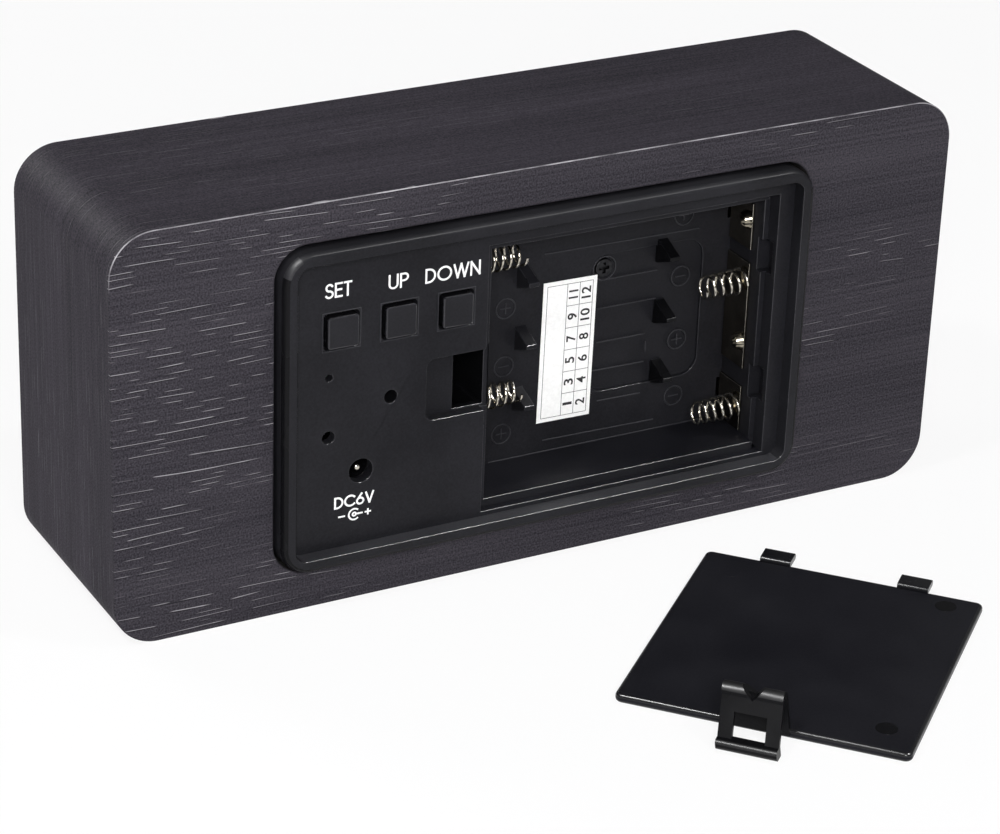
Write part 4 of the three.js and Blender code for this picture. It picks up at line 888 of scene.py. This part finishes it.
# What stays as the solid it is, with its own finish
finishes = [
    (fibreboard, ["mdf_core"]), (maskPlastic, ["digit_mask"]), (ribbonPvc, ["display_ribbon"]),
    (boardMask, ["main_board", "display_board"]), (capAbs, ["set_plunger", "up_plunger", "down_plunger"]),
    (epoxyBlack, ["set_switch", "up_switch", "down_switch", "clock_chip", "buzzer", "thermistor"]),
    (nickelPlate, ["crystal", "microphone"]), (redPvc, ["lead_positive"]), (blackPvc, ["lead_negative"]),
]
for material, nodes in finishes:
    for node in nodes:
        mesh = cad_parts[node].data
        mesh.materials.clear()
        mesh.materials.append(material)

# Camera at the photograph's angle; the picture is 1000 x 834, with its focal length in pixels
view = {
    "azimuth": 29.0212, "elevation": 25.8265, "roll": 2.1410, "target": (-2.3865, 0, 16.1616), "distance": 563.919,
    "focal": 3369.788, "picture": 1000, "sensor": 36, "clip": (0.01, 20),
}
azimuth, elevation, roll = (radians(view[key]) for key in ("azimuth", "elevation", "roll"))
back = Vector((sin(azimuth) * cos(elevation), cos(azimuth) * cos(elevation), sin(elevation)))
right = Vector((-cos(azimuth), sin(azimuth), 0))
up = back.cross(right)
axes = Matrix((cos(roll) * right + sin(roll) * up, cos(roll) * up - sin(roll) * right, back)).transposed()
cameraData = bpy.data.cameras.new("camera")
cameraData.sensor_width, cameraData.sensor_fit = view["sensor"], "HORIZONTAL"
cameraData.lens = view["focal"] / view["picture"] * view["sensor"]
cameraData.clip_start, cameraData.clip_end = view["clip"]
camera = loose("camera", cameraData)
camera.matrix_world = Matrix.Translation((Vector(view["target"]) + back * view["distance"]) * mm) @ axes.to_4x4()
bpy.context.scene.camera = camera

# Pale floor, soft light all round, four lamps, and three strips that draw the light on rounded edges.
# A lamp has its place and its side in metres, and its power
stage = {
    "floor": 3, "floorColour": "#f6f4f6", "floorRoughness": 0.9, "floorIor": 1.3, "seenWhite": 0.86, "surround": 0.17,
    "aim": (0, 0.02, 0.03),
    "lamps": [("key", (0.31, 0.68, 0.42), 0.3, 6.0), ("top", (-0.5, 0.5, 0.95), 0.1, 2.4),
              ("side", (0.6, 0.12, 1.0), 0.1, 3.0), ("back", (0.5, -0.85, 0.6), 0.4, 2.6)],
    "strips": [("topStrip", (-0.5, 0.5, 0.95), 0.1, 22.0), ("sideStrip", (0.6, 0.12, 1.0), 0.16, 18.0),
               ("backStrip", (0.5, -0.9, 0.52), 0.3, 9.0)],
}
plane = bmesh.new()
bmesh.ops.create_grid(plane, x_segments=2, y_segments=2, size=stage["floor"] / 2)
floorMesh = bpy.data.meshes.new("floor")
plane.to_mesh(floorMesh)
plane.free()
floor = loose("floor", floorMesh)
# white paper, which shows mostly as plain white where it is seen
floorMaterial, tree, shader = startMaterial("paperSweep", {
    "Base Color": toLinear(stage["floorColour"]), "Roughness": stage["floorRoughness"], "IOR": stage["floorIor"]})
path = addNode(tree, "ShaderNodeLightPath").outputs
shows = addNode(tree, "ShaderNodeMath", {"operation": "ADD"}, {0: path["Is Camera Ray"], 1: path["Is Glossy Ray"]})
shows = addNode(tree, "ShaderNodeMath", {"operation": "ADD", "use_clamp": True},
                {0: shows, 1: path["Is Transmission Ray"]})
seen = addNode(tree, "ShaderNodeMath", {"operation": "MULTIPLY", 1: stage["seenWhite"]}, {0: shows})
glow = addNode(tree, "ShaderNodeEmission", {"Color": white, "Strength": 1})
mixed = addNode(tree, "ShaderNodeMixShader", links={0: seen, 1: shader, 2: glow})
outlet = next(node for node in tree.nodes if node.type == "OUTPUT_MATERIAL")
tree.links.new(mixed.outputs[0], outlet.inputs["Surface"])
floorMesh.materials.append(floorMaterial)

world = bpy.data.worlds.new("surround")
world.use_nodes = True
bpy.context.scene.world = world
sky = world.node_tree
sky.nodes.clear()
soft = addNode(sky, "ShaderNodeBackground", {"Color": white, "Strength": stage["surround"]})
addNode(sky, "ShaderNodeOutputWorld", links={"Surface": soft})
for kind in ("lamps", "strips"):
    for name, place, size, power in stage[kind]:
        lamp = bpy.data.lights.new(name, "AREA")
        lamp.shape, lamp.size, lamp.energy = "SQUARE", size, power
        holder = loose(name, lamp)
        holder.visible_diffuse = kind == "lamps"        # the strips only show in gloss
        holder.location = place
        holder.rotation_euler = (Vector(stage["aim"]) - Vector(place)).to_track_quat("-Z", "Y").to_euler()
bpy.context.scene.view_settings.view_transform = "Standard"
print("stage made")
